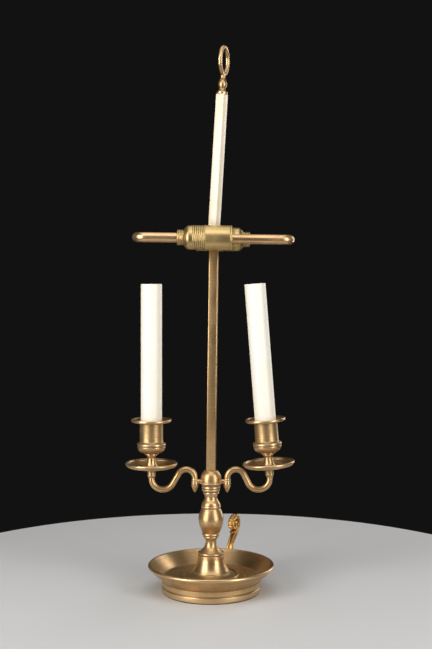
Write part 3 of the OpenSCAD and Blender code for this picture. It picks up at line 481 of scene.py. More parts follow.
def round_section(radius, sides=28):
    """A circle (r cos a, r sin a)."""
    a = full_turn(sides)
    return radius * np.stack([np.cos(a), np.sin(a)], 1)


def square_section(half_x, half_y, corner, steps=5):
    """A rectangle whose corners are quarter circles."""
    a = np.radians(np.linspace(0, 90, steps))[None, :] + np.radians([0, 90, 180, 270])[:, None]
    sign_x, sign_y = np.array([[1], [-1], [-1], [1]]), np.array([[1], [1], [-1], [-1]])
    x = sign_x * (half_x - corner) + corner * np.cos(a)
    y = sign_y * (half_y - corner) + corner * np.sin(a)
    return np.stack([x.ravel(), y.ravel()], 1)


def bar(section, z0, z1, ease_in=0.35, slope=0.0):
    """A straight bar along Z with softened ends, whose top is cut at a slope along X."""
    half = np.abs(section).max()
    end_taper = np.array([1, 0.3, 0, 0, 0.3, 1])
    heights = np.array([z0, z0 + 0.3 * ease_in, z0 + ease_in, z1 - ease_in, z1 - 0.3 * ease_in, z1])
    shrink = 1 - ease_in / half * end_taper
    sections = section[None] * shrink[:, None, None]
    path = np.stack([0 * heights, 0 * heights, heights], 1)
    verts, quads, hollow, along = swept(path, sections, (0, 1, 0))
    # The softened ends count as edges, so they take the painted highlight in turned_metal.
    edge = np.repeat([0, *end_taper, 0], len(section))
    verts[:, 2] -= verts[:, 0] * slope * (verts[:, 2] > (z0 + z1) / 2)
    return verts, quads, hollow - edge, along


def placed(surface, place):
    """A surface in the lamp's frame; a mirror turns its faces outwards again."""
    verts, quads, hollow, along = surface
    moved = verts @ place[:3, :3].T + place[:3, 3]
    return moved, quads[:, ::-1] if np.linalg.det(place[:3, :3]) < 0 else quads, hollow, along


def together(*surfaces):
    """Several surfaces as one."""
    starts = np.cumsum([0] + [len(s[0]) for s in surfaces[:-1]])
    return (np.concatenate([s[0] for s in surfaces]),
            np.concatenate([s[1] + start for s, start in zip(surfaces, starts)]),
            np.concatenate([s[2] for s in surfaces]), np.concatenate([s[3] for s in surfaces]))


def arc(centre, radius, start, stop, steps):
    """Points (x, y) on an arc, from one angle to another in degrees."""
    a = np.radians(np.linspace(start, stop, steps))
    return np.stack([centre[0] + radius * np.cos(a), centre[1] + radius * np.sin(a)], 1)


def curve_through(points, steps=8):
    """A smooth curve through points of any size: Hermite cubics whose slopes are central differences."""
    points = np.asarray(points, float)
    slope = np.gradient(points, axis=0)
    t = (np.arange(steps) / steps)[None, :, None]
    p, q, m, n = points[:-1, None], points[1:, None], slope[:-1, None], slope[1:, None]
    inside = ((2 * t ** 3 - 3 * t ** 2 + 1) * p + (t ** 3 - 2 * t ** 2 + t) * m
              + (3 * t ** 2 - 2 * t ** 3) * q + (t ** 3 - t ** 2) * n)
    return np.concatenate([inside.reshape(-1, points.shape[1]), points[-1:]])


# ---- Pieces ----
WELD = 2e-7  # points nearer than this, in metres, are one point


def welded(mesh):
    """Joins the doubled points that poles and closed seams have."""
    weld = bmesh.new()
    weld.from_mesh(mesh)
    bmesh.ops.remove_doubles(weld, verts=weld.verts, dist=WELD)
    weld.to_mesh(mesh)
    weld.free()


def new_piece(name, surface, finish, body, *nodes):
    """A piece from a surface in millimetres: it rides on a body, takes a finish and stands for CAD nodes."""
    verts, quads, hollow, along = surface
    mesh = bpy.data.meshes.new(name)
    mesh.vertices.add(len(verts))
    mesh.vertices.foreach_set("co", (verts * MM).astype(np.float32).ravel())
    mesh.loops.add(quads.size)
    mesh.loops.foreach_set("vertex_index", quads.astype(np.int32).ravel())
    mesh.polygons.add(len(quads))
    mesh.polygons.foreach_set("loop_start", np.arange(0, quads.size, 4, dtype=np.int32))
    mesh.update(calc_edges=True)
    for field, values in (("hollow", hollow), ("along", along)):
        mesh.attributes.new(field, "FLOAT", "POINT").data.foreach_set("value", values.astype(np.float32))
    welded(mesh)
    mesh.validate()
    mesh.shade_smooth()
    piece = bpy.data.objects.new(name, mesh)
    bpy.context.scene.collection.objects.link(piece)
    mesh.materials.append(finish_named(finish))
    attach(piece, body)
    if nodes:
        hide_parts(*nodes)
    return piece


def dressed(node, surface, finish, body="lamp"):
    """The piece that stands for one CAD node."""
    return new_piece("dressed_" + node, surface, finish, body, node)


def refinish(finish, *nodes):
    """A finish for CAD nodes whose shape stays."""
    for node in nodes:
        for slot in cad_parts[node].material_slots:
            slot.material = finish_named(finish)


def drilled(piece, place, radius, depth):
    """The piece with a round hole cut along Z of the place."""
    name = piece.name + "_cutter"
    plug = turned([[0, 0], [radius, 0], [radius, depth], [0, depth]], corner=0.01)
    verts, quads, _, _ = placed(plug, place)
    mesh = bpy.data.meshes.new(name)
    mesh.from_pydata((verts * MM).tolist(), [], quads.tolist())
    welded(mesh)
    cutter = bpy.data.objects.new(name, mesh)
    bpy.context.scene.collection.objects.link(cutter)
    cut = piece.modifiers.new("hole", "BOOLEAN")
    cut.operation, cut.solver, cut.object = "DIFFERENCE", "EXACT", cutter
    with bpy.context.temp_override(object=piece, active_object=piece, selected_objects=[piece]):
        bpy.ops.object.modifier_apply(modifier=cut.name)
    bpy.data.objects.remove(cutter)
    bpy.data.meshes.remove(mesh)


# ---- Finishes ----
class Wire:
    """A shader socket that Python's arithmetic works on: each operation adds a Math node."""

    def __init__(self, tree, socket):
        self.tree, self.socket = tree, socket

    def math(self, operation, first, second):
        """A Math node on two values."""
        return add_node(self.tree, "ShaderNodeMath", {"operation": operation}, {0: first, 1: second})

    def __add__(self, other):
        return self.math("ADD", self, other)

    def __sub__(self, other):
        return self.math("SUBTRACT", self, other)

    def __rsub__(self, other):
        return self.math("SUBTRACT", other, self)

    def __mul__(self, other):
        return self.math("MULTIPLY", self, other)

    def above(self, floor, ceiling):
        """0 at or below the floor, 1 at or over the ceiling, and even between them."""
        return add_node(self.tree, "ShaderNodeMapRange", {}, {0: self, 1: floor, 2: ceiling, 3: 0.0, 4: 1.0})

    __radd__, __rmul__ = __add__, __mul__


def add_node(tree, kind, settings, inputs, out=0):
    """A node of a kind: its settings first, then its sockets' values or links. Returns one output."""
    node = tree.nodes.new(kind)
    for name, value in settings.items():
        setattr(node, name, value)
    for key, value in inputs.items():
        if isinstance(value, Wire):
            tree.links.new(value.socket, node.inputs[key])
        else:
            node.inputs[key].default_value = value
    return Wire(tree, node.outputs[out])


class Finish:
    """A material under construction, with the nodes that most finishes share."""

    def __init__(self, name, **constants):
        self.material = bpy.data.materials.new(name)
        self.material.use_nodes = True
        self.tree = self.material.node_tree
        self.shader = self.tree.nodes["Principled BSDF"]
        for key, value in constants.items():
            self.shader.inputs[key.replace("_", " ")].default_value = value
        self.spot = self.node("ShaderNodeTexCoord", {}, {}, "Object")

    def node(self, kind, settings, inputs, out=0):
        """Any other node of this material."""
        return add_node(self.tree, kind, settings, inputs, out)

    def noise(self, scale, detail, rough=0.55):
        """Soft clouds, `scale` of them to a metre."""
        return self.node("ShaderNodeTexNoise", {}, {"Vector": self.spot, "Scale": scale, "Detail": detail,
                                                    "Roughness": rough})

    def field(self, name):
        """A number kept on the surface's points."""
        return self.node("ShaderNodeAttribute", {"attribute_name": name}, {}, "Fac")

    def mixed(self, first, second, share):
        """A colour between two colours."""
        first, second = (end if isinstance(end, Wire) else rgba(end) for end in (first, second))
        return self.node("ShaderNodeMix", {"data_type": "RGBA"}, {0: share, 6: first, 7: second}, 2)

    def finished(self, **inputs):
        """The material, once values are linked to inputs of its shader."""
        for key, value in inputs.items():
            self.tree.links.new(value.socket, self.shader.inputs[key.replace("_", " ")])
        return self.material

    def bump(self, height, strength, distance):
        """Relief from a height; the distance is in metres at full height."""
        return self.node("ShaderNodeBump", {}, {"Height": height, "Strength": strength, "Distance": distance})


def rgba(colour):
    """A colour as a socket takes it."""
    return tuple(colour) + (1.0,)


def times(colour, factor):
    """A colour made darker or lighter, by one number or by one for each channel, and at most 1."""
    return np.minimum(np.multiply(colour, factor), 1).tolist()


def turned_metal(name, tone, shade, edge_highlight, rough, tarnish, lines):
    """Satin metal off a lathe: clouded tone, dark grooves, a painted highlight on its edges and faint turning
    lines.
    """
    metal = Finish(name)
    hollow = metal.field("hollow")
    cloud, fine = metal.noise(38, 4), metal.noise(420, 2)
    lathe = metal.node("ShaderNodeTexNoise", {"noise_dimensions": "1D"},
                       {"W": metal.field("along"), "Scale": 0.7, "Detail": 2.0})
    toned = (cloud * 0.6 + fine * 0.15 + lathe * 0.25 + hollow.above(0, 1) * 0.2).above(0.42, 0.66)
    colour = metal.mixed(tone, shade, toned * tarnish)
    colour = metal.mixed(colour, times(shade, 0.45), hollow.above(0.08, 1) * 0.85)
    # Painted highlight: edges and ridges, where hollow is below zero, are lightened towards the edge
    # highlight colour.
    colour = metal.mixed(colour, edge_highlight, (0 - hollow).above(0.05, 0.9) * 0.55)
    grain = metal.noise(1900, 2)
    return metal.finished(Base_Color=colour, Metallic=0.94 - toned * tarnish * 0.28,
                          Roughness=rough + toned * 0.12 + grain * 0.05 + hollow.above(0, 1) * 0.2,
                          Normal=metal.bump(lathe * lines + fine * 0.1 + cloud * 0.6, 0.35, 0.00005))


def satin_brass(name, colours):
    """Satin brass with marked tarnish and turning lines."""
    return turned_metal(name, colours.brass, colours.brass_shade, colours.brass_glow,
                        rough=0.27, tarnish=0.85, lines=0.4)


def polished_brass(name, colours):
    """Pale brass of the lampholders, with fainter lines."""
    # Painted highlight: the holder colour made 1.3 times lighter is laid on edges.
    return turned_metal(name, colours.holder, colours.holder_shade, times(colours.holder, 1.3),
                        rough=0.31, tarnish=0.6, lines=0.2)


def bronze_tube(name, colours):
    """Copper-toned drawn tube, without turning lines."""
    # Painted highlight: the tube colour made 1.3 times lighter is laid on edges.
    return turned_metal(name, colours.tube, colours.tube_shade, times(colours.tube, 1.3),
                        rough=0.27, tarnish=0.7, lines=0.0)


def gilt(name, colours):
    """Cast and gilt: bright on its high parts, with dark wax left in its hollows."""
    cast = Finish(name, Metallic=1.0)
    hollow = cast.field("hollow")
    cloud, pits = cast.noise(160, 4, 0.6), cast.noise(900, 3)
    dirt = (hollow + cloud * 0.9 - 0.45).above(0.05, 0.75)
    return cast.finished(Base_Color=cast.mixed(colours.gilt, colours.gilt_shade, dirt),
                         Roughness=0.32 + dirt * 0.25 + pits * 0.08,
                         Normal=cast.bump(pits * 0.6 + cloud, 0.6, 0.0003))


def ivory(name, colours):
    """Brushed cream enamel, a little warmer in its clouds."""
    enamel = Finish(name, Coat_Weight=0.35, Coat_Roughness=0.15)
    cloud, strokes = enamel.noise(30, 4), enamel.noise(700, 2)
    warm = times(colours.ivory, (0.97, 0.9, 0.78))
    return enamel.finished(Base_Color=enamel.mixed(colours.ivory, warm, cloud.above(0.4, 0.75)),
                           Roughness=0.34 + strokes * 0.12, Normal=enamel.bump(strokes + cloud, 0.3, 0.00006))


def candle(name, colours):
    """Smooth cream tube with faint runs down its length."""
    tube = Finish(name, Coat_Weight=0.15, Coat_Roughness=0.25)
    cloud = tube.noise(26, 3)
    stretched = tube.node("ShaderNodeMapping", {}, {"Vector": tube.spot, "Scale": (260, 260, 14)})
    runs = tube.node("ShaderNodeTexNoise", {}, {"Vector": stretched, "Scale": 1.0, "Detail": 3.0})
    warm = times(colours.candle, (0.98, 0.93, 0.82))
    shade = (cloud * 0.6 + runs * 0.4).above(0.42, 0.72)
    return tube.finished(Base_Color=tube.mixed(colours.candle, warm, shade * 0.7),
                         Roughness=0.38 + runs * 0.14, Normal=tube.bump(runs + cloud, 0.25, 0.00008))


def insulator(name, colours):
    """Glazed ceramic with a few darker specks."""
    glaze = Finish(name, Coat_Weight=0.6, Coat_Roughness=0.06)
    cloud, specks = glaze.noise(60, 3), glaze.noise(1500, 2)
    share = cloud * 0.35 + specks.above(0.68, 0.74) * 0.5
    return glaze.finished(Base_Color=glaze.mixed(colours.ceramic, times(colours.ceramic, 0.82), share),
                          Roughness=0.22 + cloud * 0.1, Normal=glaze.bump(cloud, 0.2, 0.0001))


def felt(name, colours):
    """Pressed wool: crossed fine noise for its nap."""
    wool = Finish(name, Roughness=0.95, Sheen_Weight=0.5)
    nap, fibre = wool.noise(900, 4, 0.7), wool.noise(3000, 2)
    return wool.finished(Base_Color=wool.mixed(colours.felt, times(colours.felt, 1.9), nap.above(0.4, 0.7)),
                         Normal=wool.bump(nap + fibre, 0.8, 0.0004))


def steel(name, colours):
    """Plated steel with a fine brushed grain."""
    plated = Finish(name, Metallic=1.0)
    cloud, grain = plated.noise(120, 3), plated.noise(2200, 2)
    return plated.finished(Base_Color=plated.mixed(colours.steel, times(colours.steel, 0.7), cloud),
                           Roughness=0.28 + grain * 0.15, Normal=plated.bump(grain, 0.3, 0.00005))


def cast_iron(name, colours):
    """Rough casting with sandy grain."""
    iron = Finish(name, Metallic=0.6)
    sand, cloud = iron.noise(700, 4, 0.7), iron.noise(60, 3)
    return iron.finished(Base_Color=iron.mixed(colours.iron, times(colours.iron, 1.8), cloud * sand),
                         Roughness=0.6 + sand * 0.2, Normal=iron.bump(sand, 0.8, 0.0006))


def cable(name, colours):
    """Moulded rubber with a soft sheen."""
    rubber = Finish(name)
    grain = rubber.noise(1400, 2)
    return rubber.finished(Base_Color=rubber.mixed(colours.cable, times(colours.cable, 1.4), grain),
                           Roughness=0.5 + grain * 0.15, Normal=rubber.bump(grain, 0.3, 0.0001))


FINISHES = {maker.__name__: maker for maker in (satin_brass, polished_brass, bronze_tube, gilt, ivory, candle,
                                                insulator, felt, steel, cast_iron, cable)}


def finish_named(name):
    """The material of that name, made when it is first asked for."""
    full = "lamp_" + name
    return bpy.data.materials.get(full) or FINISHES[name](full, bpy.context.scene.lamp_finishes)


# ---- Base ----
FLOOR_GROOVES, FLOOR_GROOVE_DEPTH = (46.5, 43.4, 38.2), 0.35


def dish_profile(s, bore):
    """Foot band with two grooves, flared wall, rolled lip, inner slope and a flat floor with three turned
    grooves."""
    under = s.floor_z - s.wall
    split = (under + s.felt_t) / 2
    lip = arc((s.lip_r - s.lip_bead, s.lip_z - s.lip_bead), s.lip_bead, -60, 160, 16)
    return joined(
        [[bore, s.floor_z], [bore, under], [s.foot_r - s.wall, under], [s.foot_r - s.wall, s.felt_t]],
        [[s.foot_r - 0.5, s.felt_t], [s.foot_r, s.felt_t + 0.5], [s.foot_r, split - 1.2],
         [s.foot_r - s.groove, split - 0.8], [s.foot_r - s.groove, split],
         [s.foot_r - s.groove / 2, split + 0.3], [s.foot_r - s.groove, split + 0.6],
         [s.foot_r, split + 1.2], [s.foot_r, under - 0.8]],
        run(s.foot_r, under - 0.2, s.lip_r - 1.2, s.lip_z - 2 * s.lip_bead + 0.3, "line", 6),
        lip,
        run(s.lip_r - 1.8 * s.lip_bead, s.lip_z - 0.8, s.floor_r + 1.6, s.floor_z + 1.1, "line", 6),
        [[s.floor_r - 0.8, s.floor_z]],
        *[[[r, s.floor_z], [r - 0.5, s.floor_z - FLOOR_GROOVE_DEPTH],
           [r - 1.1, s.floor_z - FLOOR_GROOVE_DEPTH], [r - 1.6, s.floor_z]] for r in FLOOR_GROOVES])


SCROLL_START, CURL_START, SCROLL_END = -90, 150, 330
SCROLL_OUT, SCROLL_UP, CURL_RISE = 5, 17.1, 5
LOBE_ANGLES = range(40, 221, 18)
# Points [outwards, sideways, up, half width] along the tail
TAIL = [[-10, 0, -12.7, 1.0], [-6, 0, -10.9, 2.4], [-1.8, 0, -7.6, 3.0], [0, 0, -3, 3.2], [0.5, 0, 0.6, 3.3],
        [2.9, 0, 4.3, 3.8], [8, 0, 8.0, 4.6], [14, 0, 11.4, 5.2], [19.8, 0, 15.0, 5.4], [24.6, 0, 19.2, 4.6]]
TAIL_TOP = 19


def scroll_at(s, a, out=0.0):
    """A point on the scroll: an oval that shrinks by 0.6 t^0.8 past 150 degrees, and rises as it curls in."""
    a = np.asarray(a, float)
    k = 1 - 0.6 * (np.clip(a - CURL_START, 0, None) / (SCROLL_END - CURL_START)) ** 0.8
    c, d = np.cos(np.radians(a)), np.sin(np.radians(a))
    return np.stack([s.handle_a + SCROLL_OUT + c * (s.handle_a * k + out), 0 * a,
                     s.handle_b + SCROLL_UP + CURL_RISE * (1 - k) + d * (s.handle_b * k + out)], -1)


def scroll_half(s, a):
    """Half of the band's width, which narrows towards the eye by 0.25 of it."""
    share = (a - SCROLL_START) / (SCROLL_END - SCROLL_START)
    return s.handle_band / 2 * (1 - 0.25 * share)


def fluted(sides=40):
    """(x, y, depth in a flute) round a section of half width 1: a squared oval sign(cos v) |cos v|^0.5 by
    sign(sin v) |sin v|^0.45, drawn in by 0.3 where a flute runs along the middle of each side."""
    v = full_turn(sides)[None, :]
    x, y = squared(np.cos(v), 0.5), squared(np.sin(v), 0.45)
    face = np.exp(-(x / 0.42) ** 2) * np.abs(np.sin(v))
    edge = np.exp(-(y / 0.34) ** 2) * np.abs(np.cos(v))
    return x * (1 - 0.30 * edge), y * (1 - 0.30 * face), 1.3 * np.maximum(face, edge) - 0.4


def scroll_handle(s):
    """A fluted band that curls in to a long bud, with leaf lobes on its back and a tail under the lip. The
    band thins by 0.12 over 420 degrees, and the tail by 0.22 sin(pi z / 19) between the lip and the curl."""
    a, half_t = np.arange(SCROLL_START, SCROLL_END + 1, 3.0), s.handle_t / 2
    half, thick = scroll_half(s, a)[:, None], (half_t * (1 - 0.12 * (a - SCROLL_START) / 420))[:, None]
    x, y, deep = fluted()
    band = swept(scroll_at(s, a), np.stack([x * half, y * thick], -1), (0, -1, 0), deep)
    eye = scroll_at(s, SCROLL_END) + (-4, 0, 0.3)
    parts = [band, ball(eye, (6.8, half_t * 0.95, 3.0), ripple=0.05, waves=6)]
    for step, at in enumerate(LOBE_ANGLES):
        size = 1 - 0.03 * step
        lobe = ball((0, 0, 0), (3.1 * size, half_t, 2.1 * size), ripple=0.09, waves=7)
        parts.append(placed(lobe, shift(*scroll_at(s, at, scroll_half(s, at) - 1.2)) @ spin("Y", -at - 62)))
    tail = curve_through(TAIL)
    slim = 1 - 0.22 * np.sin(np.pi * np.clip(tail[:, 2] / TAIL_TOP, 0, 1))
    section = np.stack([x[0], y[0]], 1)[None] * np.stack([tail[:, 3], slim * half_t], 1)[:, None]
    parts.append(swept(tail[:, :3], section, (0, -1, 0), deep[0]))
    leaf = ball((0, 0, 0), (5.0, half_t * 0.9, 1.7), ripple=0.10, waves=6)
    parts.append(placed(leaf, shift(12.2, 0, 17.7) @ spin("Y", -8)))
    place = spin("Z", 90 - s.handle_turn) @ shift(s.lip_r, 0, s.lip_z)
    return placed(together(*parts), place)


class DressBase(bpy.types.Operator):
    """Dish, scroll handle, felt, weight and the fittings under the dish"""
    bl_idname = "lamp.dress_base"
    bl_label = "Base"

    def execute(self, context):
        s, bore = millimetres(context.scene.lamp_base), millimetres(context.scene.lamp_stem).bore_r
        dish = dressed("base_dish", turned(dish_profile(s, bore), closed=True, corner=0.4), "satin_brass")
        cable_z = (bottom("cable_bushing") + top("cable_bushing")) / 2
        clear = 2
        hole = shift(0, s.foot_r - s.wall - clear, cable_z) @ spin("X", -90)
        drilled(dish, hole, s.cable_hole_r, s.wall + 2 * clear)
        dressed("scroll_handle", scroll_handle(s), "gilt")
        refinish("felt", "felt_pad")
        refinish("cast_iron", "base_weight")
        refinish("steel", "tie_rod", "tie_rod_nut", "tie_rod_washer")
        refinish("insulator", "terminal_block")
        refinish("cable", "cable_bushing", "riser_lead", "left_lead", "right_lead")
        refinish("satin_brass", "handle_screws")
        return {"FINISHED"}


# ---- Stem ----
def bell_profile(s):
    """Flange, flared skirt, step ring and a neck that draws in."""
    step = 0.60 * s.bell_h
    return joined(
        [[s.flange_r - 0.6, 0], [s.flange_r, 0.6], [s.flange_r, 2.2], [s.flange_r - 0.7, 3.2],
         [s.flange_r - 2, 3.6], [s.flange_r - 3, 3.1], [s.flange_r - 3.8, 2.6]],
        run(s.flange_r - 4.2, 2.5, s.bell_r, 6.8, "flare", 10),
        run(s.bell_r, 6.9, s.step_r + 0.2, step - 2, "flare", 26),
        [[s.step_r - 0.7, step - 1.4], [s.step_r - 0.7, step - 0.9]],
        bead(s.step_r - 0.5, step - 0.8, step + 1.4, 0.5),
        run(s.step_r - 1.6, step + 1.8, s.neck_r, s.bell_h - 4.5, "flare", 22),
        run(s.neck_r, s.bell_h - 4.2, s.neck_r + 0.9, s.bell_h, "shrink", 8))


def collar_profile(s):
    """Two half-round rings, the upper one wider."""
    split = s.collar_h / 2
    return joined(bead(s.collar_r - 2.6, 0, split - 0.2, 0.9), bead(s.collar_r - 0.9, split, s.collar_h, 0.9))


def vase_profile(s):
    """A belly over half way up, then a rounded shoulder."""
    belly = 0.58 * s.vase_h
    return joined(run(s.collar_r - 0.5, 0, s.vase_r, belly, "swell", 22),
                  run(s.vase_r, belly + 0.1, s.shoulder_r - 0.3, s.vase_h, "shrink", 22))


def waist_profile(s):
    """A ring, then a concave waist."""
    return joined([[s.shoulder_r - 1, 0], [s.shoulder_r - 1, 1]],
                  bead(s.shoulder_r - 0.4, 1.1, 3.5, 0.5),
                  run(s.shoulder_r - 0.4, 3.7, s.waist_r, 13, "ogee", 22),
                  run(s.waist_r, 13.2, s.waist_r + 0.8, s.waist_h, "shrink", 8))


def capital_profile(s):
    """A foot ring and a drum with two grooves, then a wide ring under a dome that carries the post."""
    return joined(bead(s.waist_r + 1.3, 0, 2.4, 0.8),
                  run(s.waist_r + 1.6, 2.6, s.capital_r - 1.4, 4.2, "swell", 8),
                  *[[[s.capital_r - 1.2, z], [s.capital_r - 1.9, z + 0.4], [s.capital_r - 1.9, z + 0.9],
                     [s.capital_r - 1.1, z + 1.3]] for z in (5.6, 8.8)],
                  [[s.capital_r - 0.9, 11], [s.capital_r - 0.4, 11.4]],
                  bead(s.capital_r + 0.3, 11.8, 13.8, 0.8),
                  run(s.capital_r + 0.2, 14.2, 7.6, s.capital_h, "dome", 24))


class DressStem(bpy.types.Operator):
    """Bell foot, double collar, vase, waist and capital"""
    bl_idname = "lamp.dress_stem"
    bl_label = "Stem"

    def execute(self, context):
        s = millimetres(context.scene.lamp_stem)
        for node, profile in (("bell_foot", bell_profile), ("double_collar", collar_profile),
                              ("vase_body", vase_profile), ("waist", waist_profile),
                              ("capital", capital_profile)):
            shape = turned(bored(s.bore_r, profile(s)), closed=True)
            dressed(node, placed(shape, shift(z=bottom(node))), "satin_brass")
        return {"FINISHED"}


# ---- Swing arms and candle holders ----
def bracket(s, side):
    """A stub out of the capital that carries an acorn drop with a bore for the arm's pin."""
    pin, high, widest, bore_h = 2.05, 13.9, 4.3, 8.5
    drop = joined([[0, 0], [0.9, 0.4], [1.3, 1.6], [1.9, 2.2]],
                  run(1.9, 2.3, widest, high - 3.6, "swell", 18),
                  [[widest, high - 2.2], [3.8, high - 1.4], [4.1, high - 0.8], [3.9, high], [pin, high],
                   [pin, high - bore_h], [0, high - bore_h]])
    stub = joined([[0, -3], [1.9, -3]], run(2.9, 0, 2.7, 2.2, "line", 2), [[2.7, 5.2], [0, 5.2]])
    acorn = placed(turned(drop, corner=0.2), shift(s.pivot_x, 0, s.joint_z - high))
    stub = placed(turned(stub), shift(s.pivot_x - 8.0, 0, s.joint_z - 1.3) @ ALONG_X)
    return placed(together(acorn, stub), mirrored(side))


def swing_arm(s, side):
    """An S of round bar: up from its pin and over, down the common tangent of two arcs, and round and up."""
    lean, down_x, up_x = arm_lean(s, side), arm_reach(s, side) - s.arc_down_r, s.pivot_x + s.arc_up_r
    tangent = np.degrees(np.arccos((s.arc_up_r + s.arc_down_r) / (down_x - up_x)))
    rise = np.stack([np.full(4, s.pivot_x), np.linspace(s.joint_z + 1.6, s.arc_z - 0.4, 4)], 1)
    line = joined(rise, arc((up_x, s.arc_z), s.arc_up_r, 180, tangent, 34),
                  arc((down_x, s.arc_z), s.arc_down_r, 180 + tangent, 360 + lean, 44))
    path = np.stack([line[:, 0], 0 * line[:, 0], line[:, 1]], 1)
    bar_of_arm = swept(path, round_section(s.arm_r), (0, 1, 0))
    collar = joined([[0, 0], [s.arm_r - 0.2, 0]], bead(s.arm_r - 0.1, 0.1, 1.9, 0.5), [[0, 1.9]])
    pin = [[0, -8], [1.6, -8], [2, -7.6], [2, 0.5], [0, 0.5]]
    foot = shift(s.pivot_x, 0, s.joint_z + 0.1)
    return placed(together(bar_of_arm, placed(turned(collar), foot), placed(turned(pin), foot)),
                  mirrored(side))


def holder_profiles(s):
    """(name, height on the candle's axis, closed, profile) of each turned piece of a candle holder."""
    wall, nipple = 2.0, 2.55
    pan_floor = s.boss_h + wall + 0.5
    bowl_s = pan_floor + s.spool_h
    cup_s = bowl_s + s.bowl_h
    boss = joined([[0, 0]], run(s.arm_r + 0.1, 0, 4.9, 3.4, "ogee"),
                  [[4.9, s.boss_h - 1.6], [5.8, s.boss_h - 1.2], [5.8, s.boss_h], [nipple, s.boss_h],
                   [nipple, 2.8], [0, 2.8]])
    pan = bored(nipple, joined(
        [[0.45 * s.pan_r, 0]], run(0.6 * s.pan_r, 0.2, s.pan_r - 1.2, s.pan_h - 3.4, "flare", 16),
        [[s.pan_r - 0.4, s.pan_h - 2.8], [s.pan_r, s.pan_h - 1.9], [s.pan_r - 0.1, s.pan_h - 0.9],
         [s.pan_r - 0.8, s.pan_h - 0.1], [s.pan_r - 1.7, s.pan_h - 0.2], [s.pan_r - 2.3, s.pan_h - 1]],
        run(s.pan_r - 3, s.pan_h - 1.8, 0.6 * s.pan_r, wall + 0.7, "dome", 16),
        [[0.45 * s.pan_r, wall + 0.5]]))
    spool = bored(nipple, joined(
        [[7.6, 0], [7.8, 0.5], [7.3, 1.1]], run(6.9, 1.4, 4.7, s.spool_h - 5, "flare", 16),
        run(4.7, s.spool_h - 4.6, 5.3, s.spool_h - 2.4, "shrink", 6),
        bead(5.8, s.spool_h - 2.2, s.spool_h - 0.4, 0.6), [[5.8, s.spool_h]]))
    bowl = bored(nipple, joined(
        bead(8.2, 0, 1.3, 0.6), run(8.6, 1.4, s.bowl_r - 0.4, s.bowl_h - 3.6, "round", 24),
        [[s.bowl_r - 1, s.bowl_h - 3.3], [s.bowl_r - 1, s.bowl_h - 2.9]],
        bead(s.bowl_r - 0.6, s.bowl_h - 2.7, s.bowl_h, 0.6)))
    bore = s.candle_r + 0.3
    rim = s.cup_h - s.flange_rim
    cup = joined(
        [[nipple, 0]], run(s.cup_r + 2.2, 0, s.cup_r, 3.2, "flare", 10),
        [[s.cup_r, s.cup_h - s.flange_t - 1]],
        run(s.cup_r + 0.2, s.cup_h - s.flange_t - 0.8, s.cup_r + 1.4, s.cup_h - s.flange_t, "shrink", 6),
        run(s.cup_r + 2, s.cup_h - s.flange_t, s.flange_r - 1.2, rim, "line", 4),
        bead(s.flange_r - 0.9, rim, s.cup_h, 0.9),
        [[s.flange_r - 1.6, s.cup_h - 0.1], [s.flange_r - 2.6, rim + 1.9], [bore, rim + 1.5], [bore, 2.2],
         [nipple, 2.2]])
    inner = s.candle_r - s.candle_wall
    tube = [[inner, 0], [s.candle_r, 0], [s.candle_r, s.candle_len], [inner, s.candle_len]]
    return [("boss", 0, False, boss), ("drip_pan", s.boss_h, True, pan), ("spool", pan_floor, True, spool),
            ("bowl", bowl_s, True, bowl), ("candle_cup", cup_s, True, cup),
            ("candle", cup_s + 2.3, True, tube)]


class DressArms(bpy.types.Operator):
    """Brackets, swing arms, candle holders and candle tubes"""
    bl_idname = "lamp.dress_arms"
    bl_label = "Swing arms"

    def execute(self, context):
        s = millimetres(context.scene.lamp_arms)
        for side in ("left", "right"):
            swing = side + "_swing"
            dressed(side + "_bracket", bracket(s, side), "satin_brass")
            dressed(side + "_arm", swing_arm(s, side), "satin_brass", swing)
            for name, height, closed, profile in holder_profiles(s):
                shape = placed(turned(profile, closed), on_arm(s, side) @ shift(z=height))
                tube = ("candle", side + "_candle_body")
                dressed(side + "_" + name, shape, *(tube if name == "candle" else ("satin_brass", swing)))
            refinish("steel", side + "_nipple", side + "_cup_nut")
        return {"FINISHED"}


# ---- Post, hub, shade rod and finial ----
def hub_block(s):
    """A rounded block, cut square to the shade rod on top, with a spigot in the post and one in each tube."""
    spigot_half, spigot_len, plug_r, plug_len = 4.25, 14, 4.45, 7
    block = bar(square_section(s.hub_x, s.hub_y, 1.2), s.hub_s - s.hub_under, s.hub_s + s.hub_over,
                ease_in=0.6, slope=np.tan(np.radians(s.rod_lean)))
    spigot = placed(bar(square_section(spigot_half, spigot_half, 0.4), -spigot_len, 1, ease_in=0.3),
                    shift(z=s.hub_s - s.hub_under) @ spin("Z", s.turn))
    plug = turned([[0, 0], [plug_r, 0], [plug_r, plug_len], [0, plug_len]])
    plugs = [placed(plug, shift(z=s.hub_s) @ spin("Z", turn) @ shift(x=s.hub_x - 0.5) @ ALONG_X)
             for turn in (0, 180)]
    return placed(together(block, spigot, *plugs), on_post(s))


def knop_profile(s):
    """A base ring, a flared foot and an oval knop whose radius follows sin(pi i / 12)^0.7."""
    i, neck = np.linspace(1, 11, 22), 3.4
    swell = np.stack([neck + (s.knop_r - neck) * np.sin(np.pi * i / 12) ** 0.7,
                      7 + (s.knop_h - 7.4) * i / 12], 1)
    return joined([[0, 0], [6.3, 0], [6.5, 0.5], [6.5, 2.3], [6.1, 2.9]],
                  run(5.7, 3.1, 3.6, 7, "flare", 8), swell, [[3.5, s.knop_h], [0, s.knop_h]])


